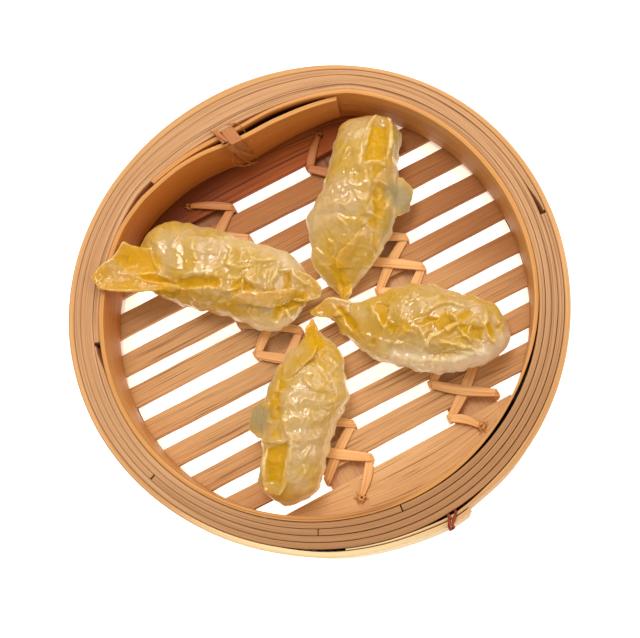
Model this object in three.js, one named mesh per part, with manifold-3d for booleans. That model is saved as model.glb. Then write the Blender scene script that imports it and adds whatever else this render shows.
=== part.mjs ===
// A round bamboo steamer basket with four pleated dumplings lying on its slatted floor.
// Millimetres, +Z up. X runs along the floor slats, and the origin is under the middle of the basket.

import * as THREE from 'three';
import Module from 'manifold-3d';
import { mergeVertices } from 'three/addons/utils/BufferGeometryUtils.js';

// Heights of the basket.
const RIM_TOP = 50;
const FLOOR_TOP = 25;
const SLAT_THICK = 3.2;
const BAR_THICK = 4;
const LEDGE_BOTTOM = 1;
const GAP = 0.3;
const SLAT_BOTTOM = FLOOR_TOP - SLAT_THICK;
const BAR_TOP = SLAT_BOTTOM - GAP;
const BAR_BOTTOM = BAR_TOP - BAR_THICK;

// The basket's axis, placed so that the whole sits centred over the origin.
const AXIS_X = 0.77;
const AXIS_Y = 3.01;

// The wall in plan: mean radius, then cosine and sine amounts of one, two and three waves round it.
const WALL_STEP = 7.5;
const INNER_RADIUS = 87.4;
const INNER_WAVES = [[-0.11, 0.41], [0.43, 0.8], [-0.67, -0.11]];
const OUTER_RADIUS = 101.6;
const OUTER_WAVES = [[-0.34, -0.89], [0.33, 0.08], [-0.43, 0.77]];

// The far side of the wall is pressed flat towards the inside.
const FLAT_AT = 88;
const FLAT_HALF = 34;
const FLAT_DEPTH = 7;

// Each layer of the wall takes a share of the wall's width.
const HOOP_SHARE = [0, 0.14];
const WRAP_SHARES = [[0.16, 0.31], [0.33, 0.48], [0.5, 0.65], [0.67, 0.82]];
const BAND_SHARE = [0.84, 1];

// The inner hoop laps over itself, from its free end inside to its other end behind.
const HOOP_FREE_END = 57.5;
const HOOP_BACK_END = 116.5;
const HOOP_SETTLED = 134;
const HOOP_THICK = 2;
const HOOP_LAP = HOOP_THICK + GAP;
const HOOP_SPRING = 2.8;
const HOOP_LIFT = 6;
const HOOP_DROP = 2;
const HOOP_TIE_AT = 88.5;
const HOOP_TIE_SPACE = 1.3;

// The outer band laps over itself near the front, where a thread ties it.
const BAND_INNER_END = 250;
const BAND_OUTER_END = 278.5;
const BAND_TIE_AT = 274.5;
const BAND_TIE_SPACE = 0.9;
const THREAD_RADIUS = 0.4;

// Floor slats, from far to near: the Y of both edges of each, and of the edge of the two end boards.
const SLAT_EDGES = [
  [46.2, 56.7],
  [30.1, 40.1],
  [14.1, 23.4],
  [-0.4, 8.7],
  [-16.3, -6.8],
  [-30.9, -21.7],
  [-46.5, -37.2],
  [-61.5, -51.7],
];
const FAR_BOARD_EDGE = 62.5;
const NEAR_BOARD_EDGE = -68.6;
const NEAR_BOARD_SLANT = 0.014;
const SLAT_TUCK = 1.1;

// Cross bars under the slats and the flat rattan that laces the slats to them.
const BARS = [{ centre: -22.7, slant: -0.034 }, { centre: 35.5, slant: -0.025 }];
const BAR_WIDTH = 19.5;
const LACE_WIDE = 3.4;
const LACE_THICK = 0.7;
const LACE_GAP = 0.25;
const LACE_ROUND = 0.9;
const LACE_HOLE = 1.9;
const LACE_STARTS = [[-30.6, 69.6], [34.4, 71.6]];
const LACE_ENDS = [[-20.7, -77.4], [36, -74]];
const LACE_TOP = FLOOR_TOP + 2 * LACE_GAP + 2 * LACE_THICK;

// The dumplings lie on the lacing.
const REST = LACE_TOP + LACE_GAP;

const BAMBOO = '#c9945b';
const BAMBOO_PALE = '#e3c48c';
const BAMBOO_DARK = '#a8683a';
const RATTAN = '#cf8f4c';
const THREAD = '#6b2a1c';
const DOUGH = '#d9b667';

const wasm = await Module();
wasm.setup();

const basket = new THREE.Group();

const radians = THREE.MathUtils.degToRad;
const mix = THREE.MathUtils.lerp;
const ease = THREE.MathUtils.smoothstep;

function addPart(name, geometry, colour, roughness) {
  const material = new THREE.MeshStandardMaterial({ color: colour, roughness, metalness: 0 });
  const mesh = new THREE.Mesh(geometry, material);
  mesh.name = name;
  basket.add(mesh);
  return mesh;
}

function welded(geometry) {
  geometry.deleteAttribute('normal');
  geometry.deleteAttribute('uv');
  const whole = mergeVertices(geometry, 1e-4);
  whole.computeVertexNormals();
  return whole;
}

// A box of cells whose corners go where place(i, j, k) says: i along, j across, k through, from 0 to 1.
function bent(cellsAlong, cellsAcross, cellsThrough, place) {
  const box = new THREE.BoxGeometry(1, 1, 1, cellsAlong, cellsAcross, cellsThrough);
  box.translate(0.5, 0.5, 0.5);
  const points = box.attributes.position;
  for (let n = 0; n < points.count; n += 1) {
    points.setXYZ(n, ...place(points.getX(n), points.getY(n), points.getZ(n)));
  }
  return welded(box);
}

function toSolid(geometry) {
  const vertProperties = new Float32Array(geometry.attributes.position.array);
  const triVerts = new Uint32Array(geometry.index.array);
  return new wasm.Manifold(new wasm.Mesh({ numProp: 3, vertProperties, triVerts }));
}

function fromSolid(solid) {
  const mesh = solid.getMesh();
  const geometry = new THREE.BufferGeometry();
  geometry.setAttribute('position', new THREE.BufferAttribute(mesh.vertProperties, 3));
  geometry.setIndex(new THREE.BufferAttribute(mesh.triVerts, 1));
  geometry.computeVertexNormals();
  return geometry;
}

// A smooth run through rows of [position, value], held level past both ends.
function curveThrough(rows) {
  const curve = new THREE.SplineCurve(rows.map(([x, y]) => new THREE.Vector2(x, y)));
  const samples = curve.getPoints(rows.length * 8);
  return (x) => {
    const next = samples.findIndex((point) => point.x >= x);
    if (next === 0) {
      return samples[0].y;
    }
    if (next < 0) {
      return samples[samples.length - 1].y;
    }
    const [a, b] = [samples[next - 1], samples[next]];
    return mix(a.y, b.y, (x - a.x) / (b.x - a.x));
  };
}

// The wall in plan.

function waved(degrees, mean, waves) {
  const turn = radians(degrees);
  return waves.reduce((radius, [cosine, sine], n) => {
    const wave = (n + 1) * turn;
    return radius + cosine * Math.cos(wave) + sine * Math.sin(wave);
  }, mean);
}

function flattening(degrees) {
  const across = (((degrees % 360) + 360) % 360 - FLAT_AT) / FLAT_HALF;
  return Math.abs(across) < 1 ? FLAT_DEPTH * (1 - across ** 2) ** 1.3 : 0;
}

const wallInner = (degrees) => waved(degrees, INNER_RADIUS, INNER_WAVES) - flattening(degrees);
const wallOuter = (degrees) => waved(degrees, OUTER_RADIUS, OUTER_WAVES);
const wallAt = (degrees, share) => mix(wallInner(degrees), wallOuter(degrees), share);

// The angles at which a strip is cut into facets, the same for every layer so that the facets nest.
function wallStations(from, to, extra) {
  const first = Math.floor(from / WALL_STEP + 1.2) * WALL_STEP;
  const stations = [from, to, ...extra];
  for (let turn = first; turn < to - 0.2 * WALL_STEP; turn += WALL_STEP) {
    stations.push(turn);
  }
  return stations.sort((a, b) => a - b);
}

// A strip standing on edge round the wall. bottom, top, inside and outside give its edges at an angle.
function hoopStrip(from, to, bottom, top, inside, outside, extra = []) {
  const stations = wallStations(from, to, extra);
  return bent(stations.length - 1, 1, 1, (i, j, k) => {
    const degrees = stations[Math.round(i * (stations.length - 1))];
    const radius = mix(inside(degrees), outside(degrees), k);
    const turn = radians(degrees);
    return [radius * Math.cos(turn), radius * Math.sin(turn), mix(bottom(degrees), top(degrees), j)];
  });
}

const level = (height) => () => height;

// How far the inner hoop stands in from its place: lapped inside and sprung loose at its free end.
function hoopShift(degrees) {
  const along = (degrees - HOOP_FREE_END) / (HOOP_BACK_END - HOOP_FREE_END - 7);
  const spring = along < 1 ? HOOP_SPRING * Math.sin(Math.PI * along ** 0.75) ** 1.5 : 0;
  const lap = HOOP_LAP * (1 - ease(degrees, HOOP_BACK_END + 1, HOOP_SETTLED));
  const place = degrees % 360;
  const drawn = HOOP_TIE_SPACE * Math.exp(-(((place - HOOP_TIE_AT) / 9) ** 2));
  return lap + spring + drawn;
}

const hoopOutside = (degrees) => wallAt(degrees, HOOP_SHARE[1]) - hoopShift(degrees);
addPart('inner_hoop', hoopStrip(
  HOOP_FREE_END,
  360 + HOOP_BACK_END,
  (degrees) => FLOOR_TOP + GAP + HOOP_LIFT * (1 - ease(degrees, HOOP_FREE_END - 12, HOOP_TIE_AT + 4)),
  (degrees) => RIM_TOP - HOOP_DROP * (1 - ease(degrees, HOOP_FREE_END - 5, HOOP_FREE_END + 14)),
  (degrees) => hoopOutside(degrees) - HOOP_THICK,
  hoopOutside,
), BAMBOO, 0.6);

addPart('ledge_hoop', hoopStrip(
  180.2,
  539.8,
  level(LEDGE_BOTTOM),
  level(SLAT_BOTTOM - GAP),
  (degrees) => wallAt(degrees, HOOP_SHARE[0]),
  (degrees) => wallAt(degrees, HOOP_SHARE[1]),
), BAMBOO, 0.6);

// Wraps of the wall, each closed by butt joints that show as notches in the rim.
const WRAPS = [
  { name: 'wrap_1a', layer: 0, from: 164.6, to: 264.6, top: RIM_TOP - 0.4, notch: 1.2 },
  { name: 'wrap_1b', layer: 0, from: 265.2, to: 523.6, top: RIM_TOP - 0.6, notch: 0 },
  { name: 'wrap_2', layer: 1, from: 244.2, to: 603.8, top: RIM_TOP - 0.2, notch: 0 },
  { name: 'wrap_3', layer: 2, from: 201.2, to: 560.8, top: RIM_TOP - 0.5, notch: 0 },
  { name: 'wrap_4', layer: 3, from: 353.4, to: 712.6, top: RIM_TOP - 0.3, notch: 0.7 },
];
for (const { name, layer, from, to, top, notch } of WRAPS) {
  const [inner, outer] = WRAP_SHARES[layer];
  const cut = (degrees) => notch * Math.exp(-(((degrees - from) / 4) ** 2));
  addPart(name, hoopStrip(
    from,
    to,
    level(0),
    level(top),
    (degrees) => wallAt(degrees, inner) + cut(degrees),
    (degrees) => wallAt(degrees, outer),
  ), BAMBOO, 0.6);
}

// The pale outer band: its thickness and how far it stands out, where it laps and where the thread passes.
function bandThickness(degrees) {
  const full = wallAt(degrees, BAND_SHARE[1]) - wallAt(degrees, BAND_SHARE[0]);
  if (degrees > 540) {
    return full * mix(1, 0.55, ease(degrees, 592, 622));
  }
  const swell = 0.3 * ease(degrees, BAND_INNER_END, BAND_OUTER_END) + 0.7 * ease(degrees, 278, 296);
  return mix(1, full, swell);
}

function bandSpace(degrees) {
  return BAND_TIE_SPACE * Math.exp(-(((degrees - BAND_TIE_AT - 1) / 6) ** 2));
}

function bandShift(degrees) {
  if (degrees < 540) {
    return bandSpace(degrees);
  }
  const under = Math.max(degrees - 360, BAND_INNER_END);
  const lapped = bandSpace(under) + bandThickness(under) + GAP;
  return lapped * ease(degrees - 360, BAND_INNER_END - 22, BAND_INNER_END - 1.5);
}

const bandInside = (degrees) => wallAt(degrees, BAND_SHARE[0]) + bandShift(degrees);
const bandOutside = (degrees) => bandInside(degrees) + bandThickness(degrees);
addPart('outer_band', hoopStrip(
  BAND_INNER_END,
  360 + BAND_OUTER_END,
  level(0),
  level(RIM_TOP - 0.2),
  bandInside,
  bandOutside,
  [272.5, 274.5, 276.5, 280.5, 632.5, 634.5],
), BAMBOO_PALE, 0.55);

// The rattan tie over the two laps of the inner hoop: a flat strip over the rim, down both faces.
function hoopTie() {
  const half = 2.2;
  const thick = 0.8;
  const inner = hoopOutside(HOOP_TIE_AT) - HOOP_THICK - GAP - thick / 2;
  const outer = hoopOutside(360 + HOOP_TIE_AT) + GAP + thick / 2;
  const top = RIM_TOP + GAP + thick / 2;
  const stations = [
    [inner, FLOOR_TOP + 4, -1, 0, 1.6],
    [inner, RIM_TOP - 1, -1, 0, 0.4],
    [inner + 0.5, top, -0.7, 0.7, 0.2],
    [outer - 0.3, top, 0.7, 0.7, -0.6],
    [outer, RIM_TOP - 1, 1, 0, -0.8],
    [outer, RIM_TOP - 9, 1, 0, -0.8],
  ];
  return bent(stations.length - 1, 1, 1, (i, j, k) => {
    const [radius, height, out, up, side] = stations[Math.round(i * (stations.length - 1))];
    const through = thick * (k - 0.5);
    const across = half * (1 - 2 * j) + side;
    return [across, radius + through * out, height + through * up];
  });
}

addPart('hoop_tie', hoopTie(), RATTAN, 0.6);

// The thread tie over the two laps of the outer band: two strands that meet low on the outside.
function threadTie() {
  const spread = [-1.2, 1.9];
  const meet = [-3.3, -1.8];
  const reach = THREAD_RADIUS + 0.2;
  const inner = bandInside(BAND_TIE_AT) - reach;
  const outer = bandOutside(360 + BAND_TIE_AT) + reach + GAP;
  const over = RIM_TOP + reach + GAP;
  const side = (across, radius, height) => {
    const turn = radians(BAND_TIE_AT) + across / radius;
    return new THREE.Vector3(radius * Math.cos(turn), radius * Math.sin(turn), height);
  };
  const path = new THREE.CatmullRomCurve3([
    side(spread[0], inner, RIM_TOP - 5),
    side(spread[0], inner, RIM_TOP + 0.1),
    side(spread[0] * 0.95, inner + 0.7, over),
    side(meet[0], outer - 0.9, over),
    side(meet[0], outer, RIM_TOP - 0.3),
    side(meet[0], outer, RIM_TOP - 6),
    side(meet[1], outer, RIM_TOP - 6),
    side(meet[1], outer, RIM_TOP - 0.3),
    side(meet[1], outer - 0.9, over),
    side(spread[1] * 0.95, inner + 0.7, over),
    side(spread[1], inner, RIM_TOP + 0.1),
    side(spread[1], inner, RIM_TOP - 5),
  ], false, 'catmullrom', 0.2);
  const round = new THREE.Shape();
  round.absarc(0, 0, THREAD_RADIUS, 0, 2 * Math.PI);
  const strand = new THREE.ExtrudeGeometry(round, {
    extrudePath: path,
    steps: 30,
    curveSegments: 3,
    bevelEnabled: false,
  });
  return welded(strand);
}

addPart('band_tie', threadTie(), THREAD, 0.8);

// The floor. Slats and boards end under the inner hoop.

const floorRadius = (degrees) => wallInner(degrees) + SLAT_TUCK;

// Where a line of constant y meets the edge of the floor, on the left or the right.
function floorX(y, side) {
  let x = side * Math.sqrt(INNER_RADIUS ** 2 - y ** 2);
  for (let n = 0; n < 12; n += 1) {
    const degrees = THREE.MathUtils.radToDeg(Math.atan2(y, x));
    x = side * Math.sqrt(Math.max(floorRadius(degrees) ** 2 - y ** 2, 1));
  }
  return x;
}

function floorY(x, side) {
  let y = side * Math.sqrt(INNER_RADIUS ** 2 - x ** 2);
  for (let n = 0; n < 12; n += 1) {
    const degrees = THREE.MathUtils.radToDeg(Math.atan2(y, x));
    y = side * Math.sqrt(Math.max(floorRadius(degrees) ** 2 - x ** 2, 1));
  }
  return y;
}

SLAT_EDGES.forEach(([near, far], n) => {
  const sway = 0.35 * Math.sin(2.3 * n + 1);
  addPart(`slat_${n + 1}`, bent(4, 1, 1, (i, j, k) => {
    const y = mix(near, far, j);
    const x = mix(floorX(y, -1), floorX(y, 1), i);
    const bow = sway * Math.sin(Math.PI * (1.6 * i + 0.3 * j));
    return [x, y + bow * 4 * i * (1 - i), mix(SLAT_BOTTOM, FLOOR_TOP, k)];
  }), n < 2 ? BAMBOO_DARK : BAMBOO, 0.65);
});

// An end board fills the space between the last gap and the wall, with two holes for the lacing.
function endBoard(edge, side, holes) {
  const from = floorX(edge(0), -1) + 2;
  const to = floorX(edge(0), 1) - 2;
  const plate = bent(16, 1, 1, (i, j, k) => {
    const x = mix(from, to, i);
    const inward = side > 0 ? 1 - j : j;
    return [x, mix(floorY(x, side), edge(x), inward), mix(SLAT_BOTTOM, FLOOR_TOP, k)];
  });
  return holes.reduce((solid, [x, y]) => {
    const drill = new THREE.CylinderGeometry(LACE_HOLE, LACE_HOLE, 3 * SLAT_THICK, 10);
    drill.rotateX(Math.PI / 2);
    drill.translate(x, y, FLOOR_TOP);
    return solid.subtract(toSolid(welded(drill)));
  }, toSolid(plate));
}

const farEdge = () => FAR_BOARD_EDGE;
const nearEdge = (x) => NEAR_BOARD_EDGE + NEAR_BOARD_SLANT * x;
addPart('board_far', fromSolid(endBoard(farEdge, 1, LACE_STARTS)), BAMBOO_DARK, 0.65);
addPart('board_near', fromSolid(endBoard(nearEdge, -1, LACE_ENDS)), BAMBOO, 0.65);

BARS.forEach(({ centre, slant }, n) => {
  addPart(`cross_bar_${n + 1}`, bent(1, 4, 1, (i, j, k) => {
    const x = centre + BAR_WIDTH * (i - 0.5);
    const reach = SLAT_TUCK + 3;
    const y = mix(floorY(x, -1) + reach, floorY(x, 1) - reach, j);
    return [x + slant * y, y, mix(BAR_BOTTOM, BAR_TOP, k)];
  }), BAMBOO_DARK, 0.7);
});

// Lacing: two strips wind along each bar, opposite ways round, and cross on top of every slat.

const gapCentres = [FAR_BOARD_EDGE, ...SLAT_EDGES.flat().sort((a, b) => b - a), NEAR_BOARD_EDGE];
const LACE_GAPS = [];
for (let n = 0; n < gapCentres.length; n += 2) {
  LACE_GAPS.push((gapCentres[n] + gapCentres[n + 1]) / 2);
}

// A ribbon through stations of centre, facing direction and width.
function ribbon(stations) {
  const last = stations.length - 1;
  return bent(last, 1, 1, (i, j, k) => {
    const n = Math.round(i * last);
    const { at, face, wide, thick } = stations[n];
    const before = stations[Math.max(n - 1, 0)].at;
    const after = stations[Math.min(n + 1, last)].at;
    const way = new THREE.Vector3().subVectors(after, before);
    const across = stations[n].across ?? new THREE.Vector3().crossVectors(face, way).normalize();
    const point = at.clone();
    point.addScaledVector(across, wide * (j - 0.5));
    point.addScaledVector(face, thick * (k - 0.5));
    return point.toArray();
  });
}

function laceStation(x, y, z, face, across, wide = LACE_WIDE, thick = LACE_THICK) {
  return { at: new THREE.Vector3(x, y, z), face: face.clone(), across: across.clone(), wide, thick };
}

// One strip. way is 1 when it crosses the slats from left to right, and tier is 0 for the lower strip.
function lacing({ centre, slant }, way, tier, startHole, endHole) {
  const layer = LACE_GAP + LACE_THICK / 2 + tier * (LACE_GAP + LACE_THICK);
  const edge = BAR_WIDTH / 2 + layer;
  const over = FLOOR_TOP + layer;
  const under = BAR_BOTTOM - layer;
  const up = new THREE.Vector3(0, 0, 1);
  const out = new THREE.Vector3(way, 0, 0);
  const back = out.clone().negate();
  const plain = new THREE.Vector3(0, way, 0);
  const mitre = Math.SQRT2;
  const low = new THREE.Vector3(way, 0, -1).normalize();
  const lowBack = new THREE.Vector3(-way, 0, -1).normalize();
  const stations = [];
  const crossing = (from, to, holeFirst, holeLast) => {
    const run = new THREE.Vector3().subVectors(to, from).setZ(0).normalize();
    const side = new THREE.Vector3().crossVectors(up, run);
    const narrow = 0.62 * LACE_WIDE;
    if (holeFirst) {
      stations.push(laceStation(from.x, from.y, FLOOR_TOP - 1.6, run.clone().negate(), side, narrow));
      stations.push(laceStation(from.x + run.x * 0.2, from.y + run.y * 0.2, over, up, side, narrow));
    }
    if (!holeFirst) {
      stations.push(laceStation(from.x, from.y, over - LACE_ROUND, back, plain));
      stations.push(laceStation(from.x + way * LACE_ROUND, from.y + run.y * LACE_ROUND, over, up, side));
    }
    if (holeLast) {
      stations.push(laceStation(to.x - run.x * 0.2, to.y - run.y * 0.2, over, up, side, narrow));
      stations.push(laceStation(to.x, to.y, FLOOR_TOP - 1.6, run, side, narrow));
    }
    if (!holeLast) {
      stations.push(laceStation(to.x - way * LACE_ROUND, to.y - run.y * LACE_ROUND, over, up, side));
      stations.push(laceStation(to.x, to.y, over - LACE_ROUND, out, plain));
    }
  };
  const passUnder = (y) => {
    const middle = centre + slant * y;
    const thick = LACE_THICK * mitre;
    stations.push(laceStation(middle + way * edge, y, under, low, plain, LACE_WIDE, thick));
    stations.push(laceStation(middle - way * edge, y, under, lowBack, plain, LACE_WIDE, thick));
  };
  const corner = (y, side) => new THREE.Vector3(centre + slant * y + side * way * edge, y, 0);
  if (startHole) {
    crossing(new THREE.Vector3(...startHole, 0), corner(LACE_GAPS[0], 1), true, false);
  }
  for (let n = 0; n < LACE_GAPS.length - 1; n += 1) {
    if (n > 0 || startHole) {
      passUnder(LACE_GAPS[n]);
    }
    crossing(corner(LACE_GAPS[n], -1), corner(LACE_GAPS[n + 1], 1), false, false);
  }
  if (endHole) {
    const last = LACE_GAPS[LACE_GAPS.length - 1];
    passUnder(last);
    crossing(corner(last, -1), new THREE.Vector3(...endHole, 0), false, true);
  }
  return ribbon(stations);
}

addPart('lace_left_over', lacing(BARS[0], 1, 1, LACE_STARTS[0], null), RATTAN, 0.5);
addPart('lace_left_under', lacing(BARS[0], -1, 0, null, LACE_ENDS[0]), RATTAN, 0.5);
addPart('lace_right_over', lacing(BARS[1], 1, 1, null, LACE_ENDS[1]), RATTAN, 0.5);
addPart('lace_right_under', lacing(BARS[1], -1, 0, LACE_STARTS[1], null), RATTAN, 0.5);

// Dumplings. Each is built along s from tip to tip, with q to its left and z up from the slats.

const power = (value, exponent) => Math.sign(value) * Math.abs(value) ** exponent;

// The filled body: left and right edges and top height run through a few rows, and the underside is flat.
function dumplingBody({ left, right, height, girth, lumps }) {
  const leftAt = curveThrough(left);
  const rightAt = curveThrough(right);
  const topAt = curveThrough(height);
  const start = left[0][0];
  const end = left[left.length - 1][0];
  const ball = new THREE.SphereGeometry(1, 20, 16);
  const points = ball.attributes.position;
  for (let n = 0; n < points.count; n += 1) {
    const along = Math.acos(THREE.MathUtils.clamp(points.getY(n), -1, 1)) / Math.PI;
    const ring = Math.max(Math.hypot(points.getX(n), points.getZ(n)), 1e-6);
    const across = points.getX(n) / ring;
    const up = points.getZ(n) / ring;
    const s = mix(start, end, along);
    const closing = Math.sqrt(Math.max(1 - Math.abs(2 * along - 1) ** 9, 0));
    const middle = (leftAt(s) + rightAt(s)) / 2;
    const half = closing * (leftAt(s) - rightAt(s)) / 2;
    const waist = Math.min(girth, 0.5 * topAt(s));
    const rise = up > 0 ? (topAt(s) - waist) * power(up, 0.85) : waist * power(up, 0.55);
    const lump = lumps * Math.sin(0.45 * s + 3 * across) * Math.cos(0.31 * s - 2 * up);
    const q = middle + (half + closing * lump) * power(across, 0.85);
    points.setXYZ(n, s, q, waist + closing * (rise + (up > 0 ? lump * up : 0)));
  }
  return { geometry: welded(ball), leftAt, rightAt, topAt };
}

// Height of the body's skin over a point of its plan.
function skinHeight(body, s, q) {
  const middle = (body.leftAt(s) + body.rightAt(s)) / 2;
  const half = Math.max((body.leftAt(s) - body.rightAt(s)) / 2, 0.5);
  const across = THREE.MathUtils.clamp(Math.abs(q - middle) / half, 0, 0.98);
  return body.topAt(s) * (0.4 + 0.6 * Math.sqrt(1 - across ** 2));
}

// The pleated seam: a thin ruffled frill standing on the body along a line of rows [s, q].
function frill(body, { line, tall, thick, waves, sway, lean, sink = 3 }) {
  const lineAt = curveThrough(line);
  const start = line[0][0];
  const end = line[line.length - 1][0];
  return bent(30, 1, 1, (i, j, k) => {
    const s = mix(start, end, i);
    const fade = Math.sin(Math.PI * i) ** 0.35;
    const ruffle = sway * fade * Math.sin(2 * Math.PI * waves * i + 0.8 * Math.sin(9 * i));
    const q = lineAt(s) + j * (lean + ruffle) - thick * mix(1, 0.7, j) * (k - 0.5);
    const base = skinHeight(body, s, lineAt(s)) - sink;
    const crest = tall * fade * (1 + 0.25 * Math.sin(17 * i + 1));
    return [s, q, base + j * (sink + crest)];
  });
}

// A leaf of folded dough from one point [s, q, z] to another, dished or arched across its width.
function leaf({ from, to, wide, thick, dish, roll, belly = 0, blunt = 0.7, skew = 0 }) {
  const a = new THREE.Vector3(...from);
  const b = new THREE.Vector3(...to);
  const run = new THREE.Vector3().subVectors(b, a);
  const ahead = run.clone().setZ(0).normalize();
  const side = new THREE.Vector3(-ahead.y, ahead.x, 0);
  return bent(7, 4, 1, (i, j, k) => {
    const across = 2 * j - 1;
    const half = Math.max(0.5 * wide * Math.sin(Math.PI * mix(0.06, 0.94, i)) ** blunt, 0.5);
    const point = a.clone().addScaledVector(run, i);
    point.addScaledVector(side, half * across);
    point.addScaledVector(ahead, skew * across * (half / (0.5 * wide)));
    point.z += dish * across ** 2 * (half / (0.5 * wide)) + roll * across + belly * Math.sin(Math.PI * i);
    point.z += thick * (k - 0.5);
    return point.toArray();
  });
}

// A soft round blister of thin dough.
function blister({ at, size }) {
  const ball = new THREE.SphereGeometry(1, 10, 8);
  ball.rotateX(Math.PI / 2);
  ball.scale(...size);
  ball.translate(...at);
  return welded(ball);
}

const DUMPLINGS = [
  {
    name: 'dumpling_left',
    tip: [-79.1, 57.5],
    turn: -33,
    scale: 1,
    shape: {
      left: [[18, 8], [21, 15], [26, 22.5], [34, 25], [53, 23], [67, 19], [80, 16.5], [88, 13], [94, 5]],
      right: [[18, 2], [23, -4], [31, -7], [43, -10], [62, -13.5], [77, -17], [86, -13.5], [94, -3]],
      height: [[18, 15], [26, 20], [38, 22.5], [55, 23], [70, 20.5], [84, 15.5], [94, 10]],
      girth: 8,
      lumps: 0.6,
    },
    frills: [
      {
        line: [[24, -5.5], [40, -2.5], [56, -2.5], [68, -3], [80, -3.5], [93, 0]],
        tall: 3.2,
        thick: 1.5,
        waves: 4.5,
        sway: 2.6,
        lean: -1.2,
      },
    ],
    leaves: [
      {
        from: [6.5, -4, 26],
        to: [37, 4, 19],
        wide: 20,
        thick: 2,
        dish: 2.6,
        roll: 0.4,
        blunt: 0.5,
        skew: 4.5,
      },
      { from: [59, -9, 12], to: [92, -4.5, 12.5], wide: 9.5, thick: 1.6, dish: -1, roll: 2.4, belly: 1.5 },
      { from: [98, 0, 9.5], to: [76, 3, 16], wide: 13, thick: 1.7, dish: 1.5, roll: -0.5 },
    ],
    blisters: [],
  },
  {
    name: 'dumpling_far',
    tip: [11, -2.3],
    turn: 54.2,
    scale: 1,
    shape: {
      left: [[1, 0.8], [4, 7], [8, 12.5], [13, 16.5], [23, 18.5], [31, 21], [44, 17], [64, 15], [75, 13],
        [82, 5]],
      right: [[1, -0.8], [8, -4], [14, -8], [25, -12.5], [39, -15.5], [56, -14], [65, -12.5],
        [76, -12.5], [82, -4]],
      height: [[1, 6], [10, 12.5], [25, 19], [45, 22], [65, 20.5], [76, 16.5], [82, 11]],
      girth: 8,
      lumps: 0.6,
    },
    frills: [
      {
        line: [[22, -4], [34, -7], [46, -8], [58, -8], [74, -6]],
        tall: 2.6,
        thick: 1.5,
        waves: 4,
        sway: 2,
        lean: -0.6,
      },
    ],
    leaves: [
      { from: [-0.4, 0, 7], to: [17, 3, 13.5], wide: 11, thick: 1.8, dish: 2, roll: 0.6 },
      {
        from: [8, -3.5, 12.5],
        to: [33, -5.5, 21.5],
        wide: 12,
        thick: 1.6,
        dish: -1.2,
        roll: 2.2,
        belly: 1.5,
      },
      {
        from: [52, -4, 20.5],
        to: [78, -4.5, 17],
        wide: 11.5,
        thick: 1.6,
        dish: 2.4,
        roll: 0.4,
        blunt: 0.5,
      },
    ],
    blisters: [{ at: [47, -13, 7.5], size: [9, 7, 5] }],
  },
  {
    name: 'dumpling_right',
    tip: [-3.9, -0.6],
    turn: -36.2,
    scale: 1,
    shape: {
      left: [[4, 2.5], [9, 5], [15, 5.5], [24, 8.5], [36, 15.5], [48, 17.5], [58, 15.5], [69, 14],
        [77, 12], [82.5, 4]],
      right: [[4, 0], [10, -3], [15, -7.5], [28, -15], [41, -17], [50, -18.5], [60, -17], [70, -13],
        [78, -9], [82.5, -3]],
      height: [[4, 8], [12, 11], [25, 16.5], [45, 21.5], [62, 21], [76, 16], [82.5, 11]],
      girth: 8,
      lumps: 0.6,
    },
    frills: [
      {
        line: [[34, -1], [44, 1], [53, 5], [62, 6.5], [80, 6]],
        tall: 2.6,
        thick: 1.5,
        waves: 3.5,
        sway: 1.6,
        lean: 0.8,
      },
      {
        line: [[24, -1], [36, -5], [48, -7], [60, -3], [78, -3]],
        tall: 3,
        thick: 1.5,
        waves: 4,
        sway: 2.4,
        lean: -1,
      },
    ],
    leaves: [
      { from: [-0.6, 0.2, 8], to: [19, 1.5, 12], wide: 9, thick: 1.8, dish: 2, roll: 0.8 },
      { from: [43, -11, 14.5], to: [81, -7, 10.5], wide: 8.5, thick: 1.6, dish: -1, roll: 1.8, belly: 1.8 },
    ],
    blisters: [],
  },
];
DUMPLINGS.push({ ...DUMPLINGS[1], name: 'dumpling_near', tip: [-6.2, -5.2], turn: -125, scale: 0.92 });

for (const { name, tip, turn, scale, shape, frills, leaves, blisters } of DUMPLINGS) {
  const body = dumplingBody(shape);
  const pieces = [
    ...frills.map((sizes) => frill(body, sizes)),
    ...leaves.map(leaf),
    ...blisters.map(blister),
  ];
  const joined = pieces.reduce((whole, piece) => whole.add(toSolid(piece)), toSolid(body.geometry));
  const skin = joined.decompose().reduce((a, b) => (a.volume() > b.volume() ? a : b));
  const dumpling = addPart(name, fromSolid(skin), DOUGH, 0.3);
  dumpling.position.set(tip[0], tip[1], REST);
  dumpling.rotation.z = radians(turn);
  dumpling.scale.setScalar(scale);
}

basket.position.set(AXIS_X, AXIS_Y, 0);

export default basket;
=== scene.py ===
# %% [markdown]
# # A bamboo steamer basket with pleated dumplings
# The basket is one tier of a stackable steamer: thin bamboo strips bent into hoops, a floor of
# slats laced to two cross bars, and four folded dumplings on top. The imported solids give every
# size and place. This lesson rebuilds each of them with rounder edges, real folds and a finish
# of its own, and leaves the solids themselves alone.

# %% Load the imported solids
import math

import bmesh
import bpy
import numpy as np
from mathutils import Matrix, Vector, noise


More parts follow.
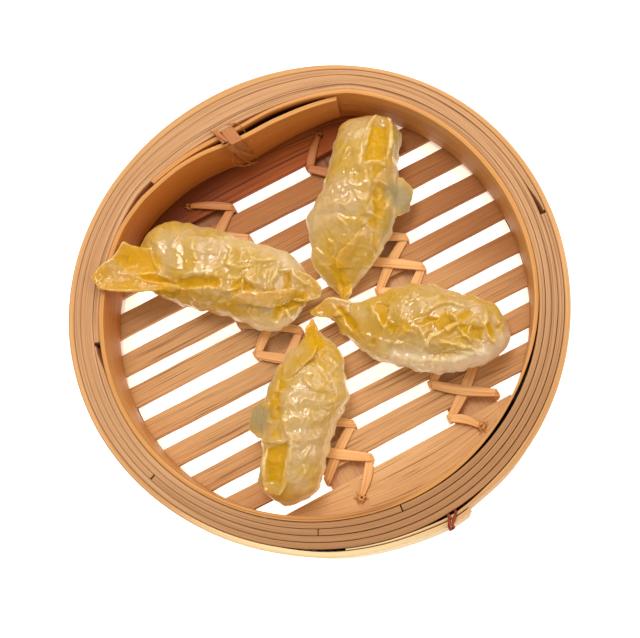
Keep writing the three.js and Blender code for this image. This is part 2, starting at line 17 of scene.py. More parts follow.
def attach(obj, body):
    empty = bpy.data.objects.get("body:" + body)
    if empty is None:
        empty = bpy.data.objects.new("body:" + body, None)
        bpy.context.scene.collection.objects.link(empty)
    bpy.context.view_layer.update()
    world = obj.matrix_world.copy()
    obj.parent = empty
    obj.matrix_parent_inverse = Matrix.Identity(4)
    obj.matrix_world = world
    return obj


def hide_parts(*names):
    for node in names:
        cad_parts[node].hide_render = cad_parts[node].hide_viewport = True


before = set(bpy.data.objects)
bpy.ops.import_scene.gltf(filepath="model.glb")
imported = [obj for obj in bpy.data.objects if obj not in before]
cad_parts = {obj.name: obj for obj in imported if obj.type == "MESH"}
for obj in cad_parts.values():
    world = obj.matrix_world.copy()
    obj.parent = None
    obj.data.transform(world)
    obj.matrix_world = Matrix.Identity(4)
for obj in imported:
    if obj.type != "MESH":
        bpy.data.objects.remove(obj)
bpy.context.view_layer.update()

# %% [markdown]
# ## Working in millimetres
# A basket maker thinks in millimetres round the basket's own axis, and so does this script.
# Each mesh is made that way, and one helper moves it to the axis's place, scales it to metres
# and hangs it on the frame, so that every finished object sits unturned at the origin.

# %% Set a finished mesh down in the frame
MM = 0.001
AXIS = Vector((0.77, 3.01, 0))
SHARP_EDGE, SOFT_EDGE = 35, 60


def hang(mesh, name, finish, slot, *nodes):
    mesh.materials.clear()
    mesh.materials.append(finish)
    mesh.shade_smooth()
    piece = bpy.data.objects.new(name, mesh)
    bpy.context.scene.collection.objects.link(piece)
    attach(piece, "root")
    if nodes:
        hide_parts(*nodes)
    print(name, "has", len(mesh.polygons), "faces")
    return piece


def set_down(bm, name, finish, slot, *nodes, sharp=SHARP_EDGE):
    bmesh.ops.recalc_face_normals(bm, faces=bm.faces[:])
    bmesh.ops.translate(bm, verts=bm.verts[:], vec=AXIS)
    bmesh.ops.scale(bm, verts=bm.verts[:], vec=(MM, MM, MM))
    mesh = bpy.data.meshes.new(name)
    bm.to_mesh(mesh)
    bm.free()
    piece = hang(mesh, name, finish, slot, *nodes)
    if sharp:
        mesh.set_sharp_from_angle(angle=math.radians(sharp))
    return piece


def mix(a, b, share):
    return a + (b - a) * share


def ease(x, low, high):
    share = min(max((x - low) / (high - low), 0), 1)
    return share * share * (3 - 2 * share)


print("the basket's axis stands at", AXIS[:2], "mm")

# %% [markdown]
# ## The viewpoint
# The basket is seen from almost straight above, a little from the near side, with the camera
# rolled so that the slats climb to the right. A camera is easiest to place by its own three
# directions: right, up and back. They become the columns of its matrix.

# %% Camera
RIM_TOP = 50
AIM = Vector((-2.30, -8.87, RIM_TOP))
TILT, ROLL, DISTANCE = math.radians(13.985), math.radians(27.4), 450
FOCAL_PIXELS, IMAGE_WIDE = 1123, 640

level_right = Vector((1, 0, 0))
level_up = Vector((0, math.cos(TILT), math.sin(TILT)))
view_back = Vector((0, -math.sin(TILT), math.cos(TILT)))
view_right = math.cos(ROLL) * level_right - math.sin(ROLL) * level_up
view_up = math.sin(ROLL) * level_right + math.cos(ROLL) * level_up

lens = bpy.data.cameras.new("camera")
lens.sensor_width = 36
lens.lens = lens.sensor_width * FOCAL_PIXELS / IMAGE_WIDE
lens.clip_start, lens.clip_end = 0.01, 20
camera = bpy.data.objects.new("camera", lens)
eye = (AIM + DISTANCE * view_back + AXIS) * MM
directions = Matrix((view_right, view_up, view_back)).transposed().to_4x4()
camera.matrix_world = Matrix.Translation(eye) @ directions
bpy.context.scene.collection.objects.link(camera)
bpy.context.scene.camera = camera
print("camera at", eye[:], "lens", round(lens.lens, 2))

# %% [markdown]
# ## Floor and light
# A pale table stands under the basket and shines faintly, like a light table, so that the gaps
# between the slats stay bright. The key lamp is large and stands high behind the basket: it
# gives the wet skins their highlights and throws the wall's soft shadow over the far slats. A
# lamp above, one at the right and a faint one in front reach what it leaves dark, and a pale
# sky fills the rest.

# %% Table
TABLE_HALF, TABLE_DROP, TABLE_GLOW = 3, 0.0004, 0.74


def set_sockets(node, values):
    for title, value in values.items():
        node.inputs[title].default_value = value


def new_finish(name):
    finish = bpy.data.materials.new(name)
    finish.use_nodes = True
    return finish, finish.node_tree, finish.node_tree.nodes["Principled BSDF"]


bm = bmesh.new()
bmesh.ops.create_grid(bm, x_segments=1, y_segments=1, size=TABLE_HALF)
bmesh.ops.translate(bm, verts=bm.verts[:], vec=(0, 0, -TABLE_DROP))
table_mesh = bpy.data.meshes.new("table")
bm.to_mesh(table_mesh)
bm.free()
table = bpy.data.objects.new("table", table_mesh)
bpy.context.scene.collection.objects.link(table)
white, _, paint = new_finish("pale_table")
set_sockets(
    paint,
    {
        "Base Color": (0.86, 0.86, 0.86, 1),
        "Roughness": 0.9,
        "Specular IOR Level": 0.1,
        "Emission Color": (1, 0.99, 0.98, 1),
        "Emission Strength": TABLE_GLOW,
    },
)
table_mesh.materials.append(white)
print("table made,", 2 * TABLE_HALF, "metres wide")

# %% Lamps and sky
SKY_STRENGTH = 0.47
LAMPS = (  # name, to the right, to the back, up, size, watts, tint
    ("key_lamp", 0.1, 0.62, 0.7, 0.7, 2.9, (1, 0.965, 0.93)),
    ("top_lamp", -0.16, 0.3, 0.95, 0.42, 4.4, (1, 0.92, 0.9)),
    ("side_lamp", 0.75, 0.05, 0.6, 0.5, 1.6, (1, 0.98, 0.96)),
    ("near_lamp", -0.1, -0.7, 0.75, 0.7, 0.9, (1, 0.98, 0.96)),
)
flat_right = Vector((view_right.x, view_right.y, 0)).normalized()
flat_up = Vector((view_up.x, view_up.y, 0)).normalized()
for name, sideways, backward, high, size, watts, tint in LAMPS:
    shine = bpy.data.lights.new(name, "AREA")
    shine.shape = "DISK"
    shine.size, shine.energy, shine.color = size, watts, tint
    lamp = bpy.data.objects.new(name, shine)
    lamp.location = sideways * flat_right + backward * flat_up + Vector((0, 0, high))
    lamp.rotation_euler = lamp.location.to_track_quat("Z", "Y").to_euler()
    bpy.context.scene.collection.objects.link(lamp)
sky = bpy.data.worlds.new("sky")
bpy.context.scene.world = sky
sky.use_nodes = True
set_sockets(sky.node_tree.nodes["Background"], {"Color": (1, 1, 1, 1), "Strength": SKY_STRENGTH})
bpy.context.scene.view_settings.view_transform = "Standard"

# %% [markdown]
# ## Bamboo fibres
# Bamboo is a bundle of straight fibres. On a split strip they show as fine pale and brown
# streaks along its length, with a dark thread here and there and soft clouds of colour. Every
# bamboo and rattan finish needs this, so it is one node group. It reads a place on the strip as
# it was before it was bent: along the strip, through it and across it, in millimetres.

# %% Helpers for nodes
def link_up(tree, *pairs):
    for source, target in pairs:
        tree.links.new(source, target)


def add_node(tree, kind, values=None, **settings):
    node = tree.nodes.new("ShaderNode" + kind)
    for title, value in settings.items():
        setattr(node, title, value)
    set_sockets(node, values or {})
    return node


def span(tree, value, low, high, to_low=0.0, to_high=1.0):
    limits = {"From Min": low, "From Max": high, "To Min": to_low, "To Max": to_high}
    ranged = add_node(tree, "MapRange", limits, interpolation_type="SMOOTHSTEP")
    tree.links.new(value, ranged.inputs["Value"])
    return ranged.outputs[0]


def read_mark(tree, title):
    return add_node(tree, "Attribute", attribute_name=title).outputs


print("node helpers are ready")

# %% Node group for fibres
fibres = bpy.data.node_groups.new("bamboo_fibres", "ShaderNodeTree")
fibres.interface.new_socket("Place", in_out="INPUT", socket_type="NodeSocketVector")
for title, value in (("Length", 40.0), ("Width", 0.8), ("Dark Share", 0.3)):
    socket = fibres.interface.new_socket(title, in_out="INPUT", socket_type="NodeSocketFloat")
    socket.default_value = value
for title in ("Fine", "Dark", "Cloud"):
    fibres.interface.new_socket(title, in_out="OUTPUT", socket_type="NodeSocketFloat")
group_in = fibres.nodes.new("NodeGroupInput")
group_out = fibres.nodes.new("NodeGroupOutput")
stretch = add_node(fibres, "CombineXYZ")
for title, axes in (("Length", "X"), ("Width", "YZ")):
    per = add_node(fibres, "Math", {0: 1}, operation="DIVIDE")
    fibres.links.new(group_in.outputs[title], per.inputs[1])
    for axis in axes:
        fibres.links.new(per.outputs[0], stretch.inputs[axis])


def fibre_noise(scale, detail, shift):
    start = (shift, shift * 1.7, shift * 0.6)
    moved = add_node(fibres, "VectorMath", {2: start}, operation="MULTIPLY_ADD")
    threads = add_node(fibres, "TexNoise", {"Scale": scale, "Detail": detail, "Roughness": 0.62})
    link_up(
        fibres,
        (group_in.outputs["Place"], moved.inputs[0]),
        (stretch.outputs[0], moved.inputs[1]),
        (moved.outputs[0], threads.inputs["Vector"]),
    )
    return threads.outputs["Fac"]


fine = span(fibres, fibre_noise(1.0, 4, 3.1), 0.3, 0.7)
cloudy = span(fibres, fibre_noise(0.12, 2, 8.3), 0.35, 0.65)
dark = span(fibres, fibre_noise(0.55, 2, 5.7), 0.55, 0.68)
few = add_node(fibres, "Math", operation="MULTIPLY")
link_up(
    fibres,
    (fine, group_out.inputs["Fine"]),
    (dark, few.inputs[0]),
    (group_in.outputs["Dark Share"], few.inputs[1]),
    (few.outputs[0], group_out.inputs["Dark"]),
    (cloudy, group_out.inputs["Cloud"]),
)
print("group", fibres.name, "with", len(fibres.nodes), "nodes")

# %% [markdown]
# ## Bamboo and rattan finishes
# All the strips take the same recipe with their own colours: a light and a deep tone mixed by
# the fine fibres, a second tone in clouds, dark threads on top, and a bump from the fibres. A
# finish may drift to a front colour between two places, read along Y or along a line that leans
# from it. On the inner hoop, the slats, the far board and the rattan this front is painted shade
# where the wall shades them. The cross bars are painted darker at the far side, where they lie
# in shade, and lighter toward the front. The place on the strip comes from the mesh itself, as a
# point attribute that the next step writes. A second point attribute is 1 deep in a gap, where
# the finish is painted nearly black as shade, and -1 on a lit rim that the painted front shade
# leaves alone.

# %% Recipe for a fibrous finish
def linear(red, green, blue):
    parts = (c / 255 for c in (red, green, blue))
    return tuple(((c + 0.055) / 1.055) ** 2.4 if c > 10 / 255 else c / 12.92 for c in parts) + (1,)


def blend(tree, share, first, second):
    mixed = add_node(tree, "Mix", data_type="RGBA")
    for socket_index, given in ((0, share), (6, first), (7, second)):
        if isinstance(given, tuple):
            mixed.inputs[socket_index].default_value = given
        else:
            tree.links.new(given, mixed.inputs[socket_index])
    return mixed.outputs[2]


# Painted shade: the nearly black colour of points that lie deep in a gap.
GAP_SHADE = linear(20, 9, 5)


# The front colour; where it stands for shade, a lit rim marked -1 keeps the plain colour.
def front_tint(tree, fine, body, painted_shade, colour, behind, ahead, lean):
    forward = add_node(tree, "VectorMath", {1: (lean, 1, 0)}, operation="DOT_PRODUCT")
    tree.links.new(add_node(tree, "TexCoord").outputs["Object"], forward.inputs[0])
    deeper, paler = (linear(*(min(255, part * c) for c in colour)) for part in (0.93, 1.05))
    front_body = blend(tree, fine, deeper, paler)
    toward_front = span(tree, forward.outputs["Value"], behind, ahead, 0, 0.85)
    tinted = add_node(tree, "Math", operation="MULTIPLY")
    link_up(tree, (toward_front, tinted.inputs[0]), (span(tree, painted_shade, -1, 0), tinted.inputs[1]))
    return blend(tree, tinted.outputs[0], body, front_body)


def fibrous(
    name, light, deep, cloud, thread, length, width, share,
    rough=(0.62, 0.45), coat=0.0, front=None, glow=0.0,
):
    finish, tree, skin = new_finish(name)
    sizes = {"Length": length, "Width": width, "Dark Share": share}
    streaks = add_node(tree, "Group", sizes, node_tree=fibres)
    tree.links.new(read_mark(tree, "grain")["Vector"], streaks.inputs["Place"])
    fine, painted_shade = streaks.outputs["Fine"], read_mark(tree, "painted_shade")["Fac"]
    body = blend(tree, fine, linear(*deep), linear(*light))
    body = blend(tree, span(tree, streaks.outputs["Cloud"], 0, 1, 0, 0.6), body, linear(*cloud))
    body = blend(tree, streaks.outputs["Dark"], body, linear(*thread))
    if front:
        body = front_tint(tree, fine, body, painted_shade, *front)
    # Painted shade: deep in a gap the colour turns nearly black.
    body = blend(tree, span(tree, painted_shade, 0, 0.15), body, GAP_SHADE)
    lift = add_node(tree, "Bump", {"Strength": 0.35, "Distance": 0.0002})
    link_up(
        tree,
        (body, skin.inputs["Base Color"]),
        (span(tree, fine, 0, 1, *rough), skin.inputs["Roughness"]),
        (fine, lift.inputs["Height"]),
        (lift.outputs["Normal"], skin.inputs["Normal"]),
    )
    if glow:
        tree.links.new(body, skin.inputs["Emission Color"])
        skin.inputs["Emission Strength"].default_value = glow
    set_sockets(skin, {"Specular IOR Level": 0.2, "Coat Weight": coat, "Coat Roughness": 0.35})
    return finish


print("recipe is ready")

# %% The finishes
# Painted shadow: the slats darken toward the far right, where the wall's shadow falls.
PAINTED_SLAT_SHADOW = ((166, 104, 54), 0.01, 0.05, 0.6)
rim_bamboo = fibrous(
    "rim_bamboo", (220, 172, 124), (172, 122, 76), (196, 145, 97), (116, 70, 40), 60, 0.32, 0.6,
    front=((170, 120, 74), -0.02, -0.095, 0),
)
# Painted shade: the inner face turns deep orange toward the far side, where the wall is in shade.
hoop_bamboo = fibrous(
    "hoop_bamboo", (228, 168, 98), (192, 128, 62), (208, 146, 78), (122, 62, 26), 60, 0.5, 0.6,
    front=((200, 114, 36), 0.02, 0.085, -0.25),
)
pale_bamboo = fibrous(
    "pale_bamboo", (222, 170, 112), (198, 144, 88), (210, 156, 98), (150, 98, 60), 70, 0.6, 0.4,
    front=((252, 220, 166), -0.085, -0.112, 0.5),
)
# Two copies of one slat finish; the far two slats are darker only through the painted shadow.
slat_bamboo, far_slat_bamboo = (
    fibrous(
        name, (218, 170, 116), (194, 142, 88), (206, 154, 100), (116, 68, 36), 24, 0.34, 0.65,
        front=PAINTED_SLAT_SHADOW,
    )
    for name in ("slat_bamboo", "far_slat_bamboo")
)
# The far board: a darker base, partly its own colour and partly painted shade, and a painted shadow
# that darkens it further near the wall.
shaded_far_board_bamboo = fibrous(
    "shaded_far_board_bamboo", (186, 100, 42), (142, 68, 22), (164, 82, 30), (64, 26, 10), 34, 0.42, 0.8,
    front=((104, 46, 16), 0.066, 0.084, -0.3),
)
# Painted shade: the bars are dark where they lie in shade under the far floor and turn lighter toward
# the front, where light reaches them.
bar_bamboo = fibrous(
    "bar_bamboo", (180, 124, 82), (142, 88, 54), (162, 106, 70), (86, 44, 22), 24, 0.34, 0.7,
    front=((226, 176, 122), 0.05, 0, 0),
)
# Painted light: the near board is a paler copy of the slat finish, for the light it catches at the
# front.
board_bamboo = fibrous(
    "board_bamboo", (232, 186, 130), (208, 158, 100), (220, 170, 112), (126, 74, 38), 24, 0.34, 0.65
)
# Painted light: the hidden ledge is near white and glows, so that where it shows at the gap ends it
# looks like the bright table beyond.
glowing_ledge_bamboo = fibrous(
    "glowing_ledge_bamboo", (255, 248, 236), (250, 236, 214), (252, 242, 226), (226, 200, 170), 40, 0.5, 0.3,
    glow=0.5,
)
# Painted shade: the rattan darkens toward the far right, in the wall's shadow like the slats.
rattan = fibrous(
    "rattan", (246, 192, 124), (216, 152, 86), (232, 170, 100), (140, 78, 38), 30, 0.5, 0.4,
    (0.5, 0.34), 0.15, front=((170, 94, 30), 0.02, 0.07, 0.35),
)
thread = fibrous(
    "red_thread", (172, 76, 46), (116, 40, 22), (146, 56, 32), (84, 28, 16), 2.5, 0.25, 0.5, (0.8, 0.6)
)
print("finishes:", [m.name for m in bpy.data.materials])

# %% [markdown]
# ## Bending a strip
# Every strip of the basket is one long bar with rounded corners, led along a path. It could be
# a curve object with a bevel, but a curve can't change its thickness or its edges on the way.
# Instead a rounded section is made once, and its end face is extruded from station to station.
# A rule called place says where a corner goes, and each point remembers its place on the flat
# strip for the fibres. A second rule, shade, may mark how much painted shade a point gets.

# %% Sweep a rounded section along stations
def sweep(stations, thick, wide, corner, place, offset=0.0, rounding=0.25, rows=1, shade=None):
    bm = bmesh.new()
    grain = bm.verts.layers.float_vector.new("grain")
    # Painted shade: this layer says how dark a point is painted, 1 deep in a gap.
    painted_shade = bm.verts.layers.float.new("painted_shade")
    bmesh.ops.create_grid(bm, x_segments=1, y_segments=1, size=0.5)
    bmesh.ops.scale(bm, verts=bm.verts[:], vec=(thick, wide, 1))
    bmesh.ops.bevel(
        bm, geom=bm.verts[:], offset=corner, segments=3, profile=0.5, affect="VERTICES", material=-1
    )
    if rows > 1:
        long_edges = [e for e in bm.edges if e.calc_length() > 0.3 * min(thick, wide)]
        bmesh.ops.subdivide_edges(bm, edges=long_edges, cuts=rows - 1)
    first = last = next(iter(bm.faces))
    for point in last.verts:
        point[grain] = (0, point.co.x / thick + 0.5, point.co.y / wide + 0.5)
    along, before = offset, None
    for station in stations:
        middle = Vector(place(station, 0.5, 0.5))
        if before is not None:
            grown = bmesh.ops.extrude_face_region(bm, geom=[last])["geom"]
            last = next(part for part in grown if isinstance(part, bmesh.types.BMFace))
            along += (middle - before).length
        before = middle
        for point in last.verts:
            through, across = point[grain][1:]
            point.co = place(station, through, across)
            point[grain] = (along, through, across)
            point[painted_shade] = shade(station, through, across) if shade else 0
    for point in bm.verts:
        length, through, across = point[grain]
        point[grain] = (length, through * thick, across * wide + offset)
    if rounding:
        rim = list({e for face in (first, last) for e in face.edges})
        bmesh.ops.bevel(
            bm, geom=rim, offset=rounding, segments=2, profile=0.5, affect="EDGES", material=-1,
            clamp_overlap=True,
        )
    return bm


def steps(start, stop, size):
    count = max(int(round(abs(stop - start) / size)), 1)
    return [mix(start, stop, n / count) for n in range(count + 1)]


print("sweep is ready")

# %% [markdown]
# ## The wall
# Seen from above the wall isn't a true circle: bent bamboo springs a little, and the far side is
# pressed flat. The inside and the outside are each a mean radius with a few slow waves, and
# every layer takes its share of the width between them. A hoop is then a sweep round the axis.
# It may have a foot of its own inside: there the wraps close up, so that no light falls through
# the thin gaps that show between them at the rim.

# %% The wall in plan
INNER_RADIUS, INNER_WAVES = 87.4, ((-0.11, 0.41), (0.43, 0.8), (-0.67, -0.11))
OUTER_RADIUS, OUTER_WAVES = 101.6, ((-0.34, -0.89), (0.33, 0.08), (-0.43, 0.77))
FLAT_AT, FLAT_HALF, FLAT_DEPTH = 88, 34, 7
FLOOR_TOP, SLAT_THICK, BAR_THICK, GAP = 25, 3.2, 4, 0.3
SLAT_BOTTOM = FLOOR_TOP - SLAT_THICK
BAR_TOP = SLAT_BOTTOM - GAP
BAR_BOTTOM = BAR_TOP - BAR_THICK


def waved(degrees, mean, waves):
    turn = math.radians(degrees)
    return mean + sum(
        c * math.cos((n + 1) * turn) + s * math.sin((n + 1) * turn) for n, (c, s) in enumerate(waves)
    )


def flattening(degrees):
    across = (degrees % 360 - FLAT_AT) / FLAT_HALF
    return FLAT_DEPTH * (1 - across**2) ** 1.3 if abs(across) < 1 else 0


def wall_inner(degrees):
    return waved(degrees, INNER_RADIUS, INNER_WAVES) - flattening(degrees)


def wall_at(degrees, share):
    return mix(wall_inner(degrees), waved(degrees, OUTER_RADIUS, OUTER_WAVES), share)


def wobble(degrees, seed, size):
    return size * noise.noise(Vector((degrees * 0.11, seed * 7.3, 0.5)))


def bump_at(degrees, middle, half):
    return math.exp(-(((degrees - middle) / half) ** 2))


print("wall is", round(wall_at(0, 1) - wall_at(0, 0), 1), "mm wide at the right")

# %% A hoop round the axis
HOOP_STEP, FIBRE_SHIFT = 2, 731.0


def hoop(
    start, stop, bottom, top, inside, outside, thick, seed,
    corner=0.2, rough_top=0.22, shade=None, foot=None,
):
    def place(degrees, through, across):
        inner = mix(foot(degrees), inside(degrees), across) if foot else inside(degrees)
        radius = mix(inner, outside(degrees), through)
        turn = math.radians(degrees)
        crown = top(degrees) + wobble(degrees, seed, rough_top)
        return radius * math.cos(turn), radius * math.sin(turn), mix(bottom(degrees), crown, across)

    stations = steps(start, stop, HOOP_STEP)
    return sweep(stations, thick, RIM_TOP, corner, place, FIBRE_SHIFT * seed, shade=shade)


print("a full hoop has", 360 // HOOP_STEP, "stations")

# %% [markdown]
# ## Hoops, wraps and band
# Inside runs the hoop that holds the floor down: it laps over itself at the far side, where its
# free end springs away and leaves a dark slot. A ledge hoop under the floor carries the slats.
# Then come four wraps of thin strip with butt joints, and last a pale outer band whose two ends
# lap near the front. They only differ in height, thickness and how far they stand in or out, so
# each is one call of the hoop helper.

# %% Inner hoop
HOOP_FREE_END, HOOP_BACK_END, HOOP_SETTLED = 57.5, 116.5, 134
HOOP_THICK, HOOP_SPRING, HOOP_LIFT, HOOP_DROP = 2, 2.8, 6, 2
HOOP_TIE_AT, HOOP_TIE_HALF, HOOP_TIE_SPACE = 88.5, 9, 1.3
NEAR_SLOT_AT, NEAR_SLOT_HALF, NEAR_SLOT_DEEP = 303, 19, 1.1
HOOP_SHARE = (0, 0.14)


def hoop_shift(degrees):
    along = (degrees - HOOP_FREE_END) / (HOOP_BACK_END - HOOP_FREE_END - 7)
    spring = HOOP_SPRING * math.sin(math.pi * max(along, 0) ** 0.75) ** 1.5 if along < 1 else 0
    lap = (HOOP_THICK + GAP) * (1 - ease(degrees, HOOP_BACK_END + 1, HOOP_SETTLED))
    drawn = HOOP_TIE_SPACE * bump_at(degrees % 360, HOOP_TIE_AT, HOOP_TIE_HALF)
    return lap + spring + drawn


def hoop_outside(degrees):
    return wall_at(degrees, HOOP_SHARE[1]) - hoop_shift(degrees)


def near_slot(degrees):
    return bump_at(degrees, NEAR_SLOT_AT, NEAR_SLOT_HALF)


# Painted shade: the lit top is marked -1 and keeps its plain colour; the outer face in the near slot
# and the inner face behind the lap are painted nearly black.
def hoop_painted_shade(degrees, through, across):
    if across > 0.993:
        return -1
    if through > 0.5:
        return near_slot(degrees) * (across < 0.97)
    lapped = 360 + HOOP_FREE_END
    return ease(degrees, lapped + 1, lapped + 6) * (across < 0.985)


bm = hoop(
    HOOP_FREE_END,
    360 + HOOP_BACK_END,
    lambda d: FLOOR_TOP + GAP + HOOP_LIFT * (1 - ease(d, HOOP_FREE_END - 12, HOOP_TIE_AT + 4)),
    lambda d: RIM_TOP - HOOP_DROP * (1 - ease(d, HOOP_FREE_END - 5, HOOP_FREE_END + 14)),
    lambda d: hoop_outside(d) - HOOP_THICK,
    lambda d: hoop_outside(d) - NEAR_SLOT_DEEP * near_slot(d),
    HOOP_THICK,
    1,
    corner=0.5,
    shade=hoop_painted_shade,
)
set_down(bm, "bamboo_inner_hoop", hoop_bamboo, "bamboo", "inner_hoop")

# %% Ledge hoop
LEDGE_START, LEDGE_STOP, LEDGE_FOOT = 90.2, 449.8, 1


# Painted shade: the ledge's outer side is painted nearly black, so its glow doesn't show in the slots
# beside it.
def ledge_painted_shade(degrees, through, across):
    return float(through > (0.5 if 180 < degrees < 360 else 0.97))


bm = hoop(
    LEDGE_START,
    LEDGE_STOP,
    lambda d: LEDGE_FOOT,
    lambda d: SLAT_BOTTOM - GAP,
    lambda d: wall_at(d, HOOP_SHARE[0]),
    lambda d: wall_at(d, HOOP_SHARE[1]),
    HOOP_THICK,
    2,
    rough_top=0,
    shade=ledge_painted_shade,
)
set_down(bm, "bamboo_ledge_hoop", glowing_ledge_bamboo, "bamboo", "ledge_hoop")

# %% Wraps
WRAP_THICK, FOOT_OVERLAP, NOTCH_HALF = 2.1, 0.019, 5
WRAPS = (  # node, start, stop, drop of the rim, notch at the start, share of the wall
    ("wrap_1a", 164.6, 264.8, 0.4, 1.2, (0.16, 0.31)),
    ("wrap_1b", 265.1, 523.6, 0.6, 0, (0.16, 0.31)),
    ("wrap_2", 244.1, 603.9, 0.2, 0, (0.33, 0.48)),
    ("wrap_3", 201.2, 560.8, 0.5, 0, (0.5, 0.65)),
    ("wrap_4", 353.4, 712.6, 0.3, 1.1, (0.67, 0.82)),
)


def snug(degrees):
    return 0.006 + 0.004 * math.sin(math.radians(degrees - 20))


for seed, (node, start, stop, drop, notch, (inner, outer)) in enumerate(WRAPS):
    bm = hoop(
        start,
        stop,
        lambda d: 0,
        lambda d: RIM_TOP - drop,
        lambda d: wall_at(d, inner - snug(d)) + 1.5 * notch * bump_at(d, start, NOTCH_HALF),
        lambda d: wall_at(d, outer + snug(d)),
        WRAP_THICK,
        seed + 3,
        foot=lambda d: wall_at(d, inner - FOOT_OVERLAP + snug(d)),
    )
    set_down(bm, "bamboo_" + node, rim_bamboo, "bamboo", node)

# %% Outer band
BAND_SHARE, BAND_INNER_END, BAND_OUTER_END = (0.84, 1), 250, 278.5
BAND_THICK, BAND_INNER_THIN, BAND_OUTER_THIN = 2.2, 0.6, 0.7
BAND_TIE_AT, BAND_TIE_HALF, BAND_TIE_SPACE = 274.5, 6, 0.9
LAST_HALF = 540


def band_thickness(degrees):
    full = wall_at(degrees, BAND_SHARE[1]) - wall_at(degrees, BAND_SHARE[0])
    if degrees > LAST_HALF:
        return full * mix(1, BAND_OUTER_THIN, ease(degrees, 592, 622))
    grown = 0.3 * ease(degrees, BAND_INNER_END, BAND_OUTER_END) + 0.7 * ease(degrees, 278, 296)
    return mix(BAND_INNER_THIN, full, grown)


def band_space(degrees):
    return BAND_TIE_SPACE * bump_at(degrees, BAND_TIE_AT + 1, BAND_TIE_HALF)


def band_inside(degrees):
    shift = band_space(degrees)
    if degrees >= LAST_HALF:
        under = max(degrees - 360, BAND_INNER_END)
        lapped = band_space(under) + band_thickness(under) + GAP
        shift = lapped * ease(degrees - 360, BAND_INNER_END - 16, BAND_INNER_END - 1)
    return wall_at(degrees, BAND_SHARE[0]) + shift


def band_outside(degrees):
    return band_inside(degrees) + band_thickness(degrees)


def band_foot(degrees):
    if degrees >= 360 + BAND_INNER_END - 1:
        return band_inside(degrees)
    closed = wall_at(degrees, BAND_SHARE[0] - FOOT_OVERLAP + snug(degrees))
    return closed + band_space(degrees)


# Painted shade: near the lap the band's inner face is painted nearly black, where shade falls in the
# gap.
def band_painted_shade(degrees, through, across):
    return float(through < 0.5 and across < 0.98 and 360 + BAND_INNER_END - 24 < degrees)


bm = hoop(
    BAND_INNER_END,
    360 + BAND_OUTER_END,
    lambda d: 0,
    lambda d: RIM_TOP - 0.2,
    band_inside,
    band_outside,
    BAND_THICK,
    9,
    corner=0.6,
    rough_top=0.15,
    shade=band_painted_shade,
    foot=band_foot,
)
set_down(bm, "bamboo_outer_band", pale_bamboo, "bamboo_pale", "outer_band")

# %% [markdown]
# ## The floor
# Eight split slats lie side by side with steam gaps between them, and a half-moon board closes
# each end. All of them end in the wall, tucked under the inner hoop. Two flat bars cross below.
# A slat is a sweep along X; a board is the same sweep with one side held to the wall's curve.
# The wall has no plain formula for that, so the place where a slat meets it is found by
# guessing, measuring there and guessing again.

# %% Slats
SLAT_TUCK, FLOOR_CORNER, GUESSES = 1.1, 0.45, 12
SLAT_EDGES = (
    (46.2, 56.7), (30.1, 40.1), (14.1, 23.4), (-0.4, 8.7),
    (-16.3, -6.8), (-30.9, -21.7), (-46.5, -37.2), (-61.5, -51.7),
)


def to_wall(known, side, angle_at):
    guess = side * math.sqrt(INNER_RADIUS**2 - known**2)
    for _ in range(GUESSES):
        reach = wall_inner(math.degrees(angle_at(guess))) + SLAT_TUCK
        guess = side * math.sqrt(max(reach**2 - known**2, 1))
    return guess


def floor_x(y, side):
    return to_wall(y, side, lambda x: math.atan2(y, x))


def floor_y(x, side):
    return to_wall(x, side, lambda y: math.atan2(y, x))


for number, (near, far) in enumerate(SLAT_EDGES):
    sway = 0.35 * math.sin(2.3 * number + 1)

    def place(along, through, across):
        y = mix(near, far, across)
        x = mix(floor_x(y, -1), floor_x(y, 1), along)
        bow = sway * math.sin(math.pi * (1.6 * along + 0.3 * across)) * 4 * along * (1 - along)
        rag = 0.18 * noise.noise(Vector((x * 0.09, number * 3.1 + round(across), 0.2)))
        return x, y + bow + rag, mix(SLAT_BOTTOM, FLOOR_TOP, through)

    bm = sweep(steps(0, 1, 1 / 60), SLAT_THICK, far - near, FLOOR_CORNER, place, 411.0 * (number + 1))
    finish, slot = (far_slat_bamboo, "bamboo_dark") if number < 2 else (slat_bamboo, "bamboo")
    set_down(bm, f"bamboo_slat_{number + 1}", finish, slot, f"slat_{number + 1}")

# %% End boards
BOARD_WIDE, FAR_EDGE, NEAR_EDGE, NEAR_SLANT = 19, 62.5, -68.6, 0.014
LACE_HOLE = 1.9
LACE_STARTS = ((-30.6, 69.6), (34.4, 71.6))
LACE_ENDS = ((-20.7, -77.4), (36, -74))


def drilled(piece, holes):
    tool = bmesh.new()
    for x, y in holes:
        made = bmesh.ops.create_cone(
            tool, cap_ends=True, segments=24, radius1=LACE_HOLE, radius2=LACE_HOLE, depth=3 * SLAT_THICK
        )
        bmesh.ops.translate(tool, verts=made["verts"], vec=(x, y, FLOOR_TOP))
    bmesh.ops.translate(tool, verts=tool.verts[:], vec=AXIS)
    bmesh.ops.scale(tool, verts=tool.verts[:], vec=(MM, MM, MM))
    drill_mesh = bpy.data.meshes.new("drill")
    tool.to_mesh(drill_mesh)
    tool.free()
    drill = bpy.data.objects.new("drill", drill_mesh)
    bpy.context.scene.collection.objects.link(drill)
    cut = piece.modifiers.new("holes", "BOOLEAN")
    cut.operation, cut.solver, cut.object = "DIFFERENCE", "EXACT", drill
    seen = piece.evaluated_get(bpy.context.evaluated_depsgraph_get())
    cut_mesh = bpy.data.meshes.new_from_object(seen)
    piece.modifiers.clear()
    piece.data = cut_mesh
    bpy.data.objects.remove(drill)
    piece.data.set_sharp_from_angle(angle=math.radians(SHARP_EDGE))


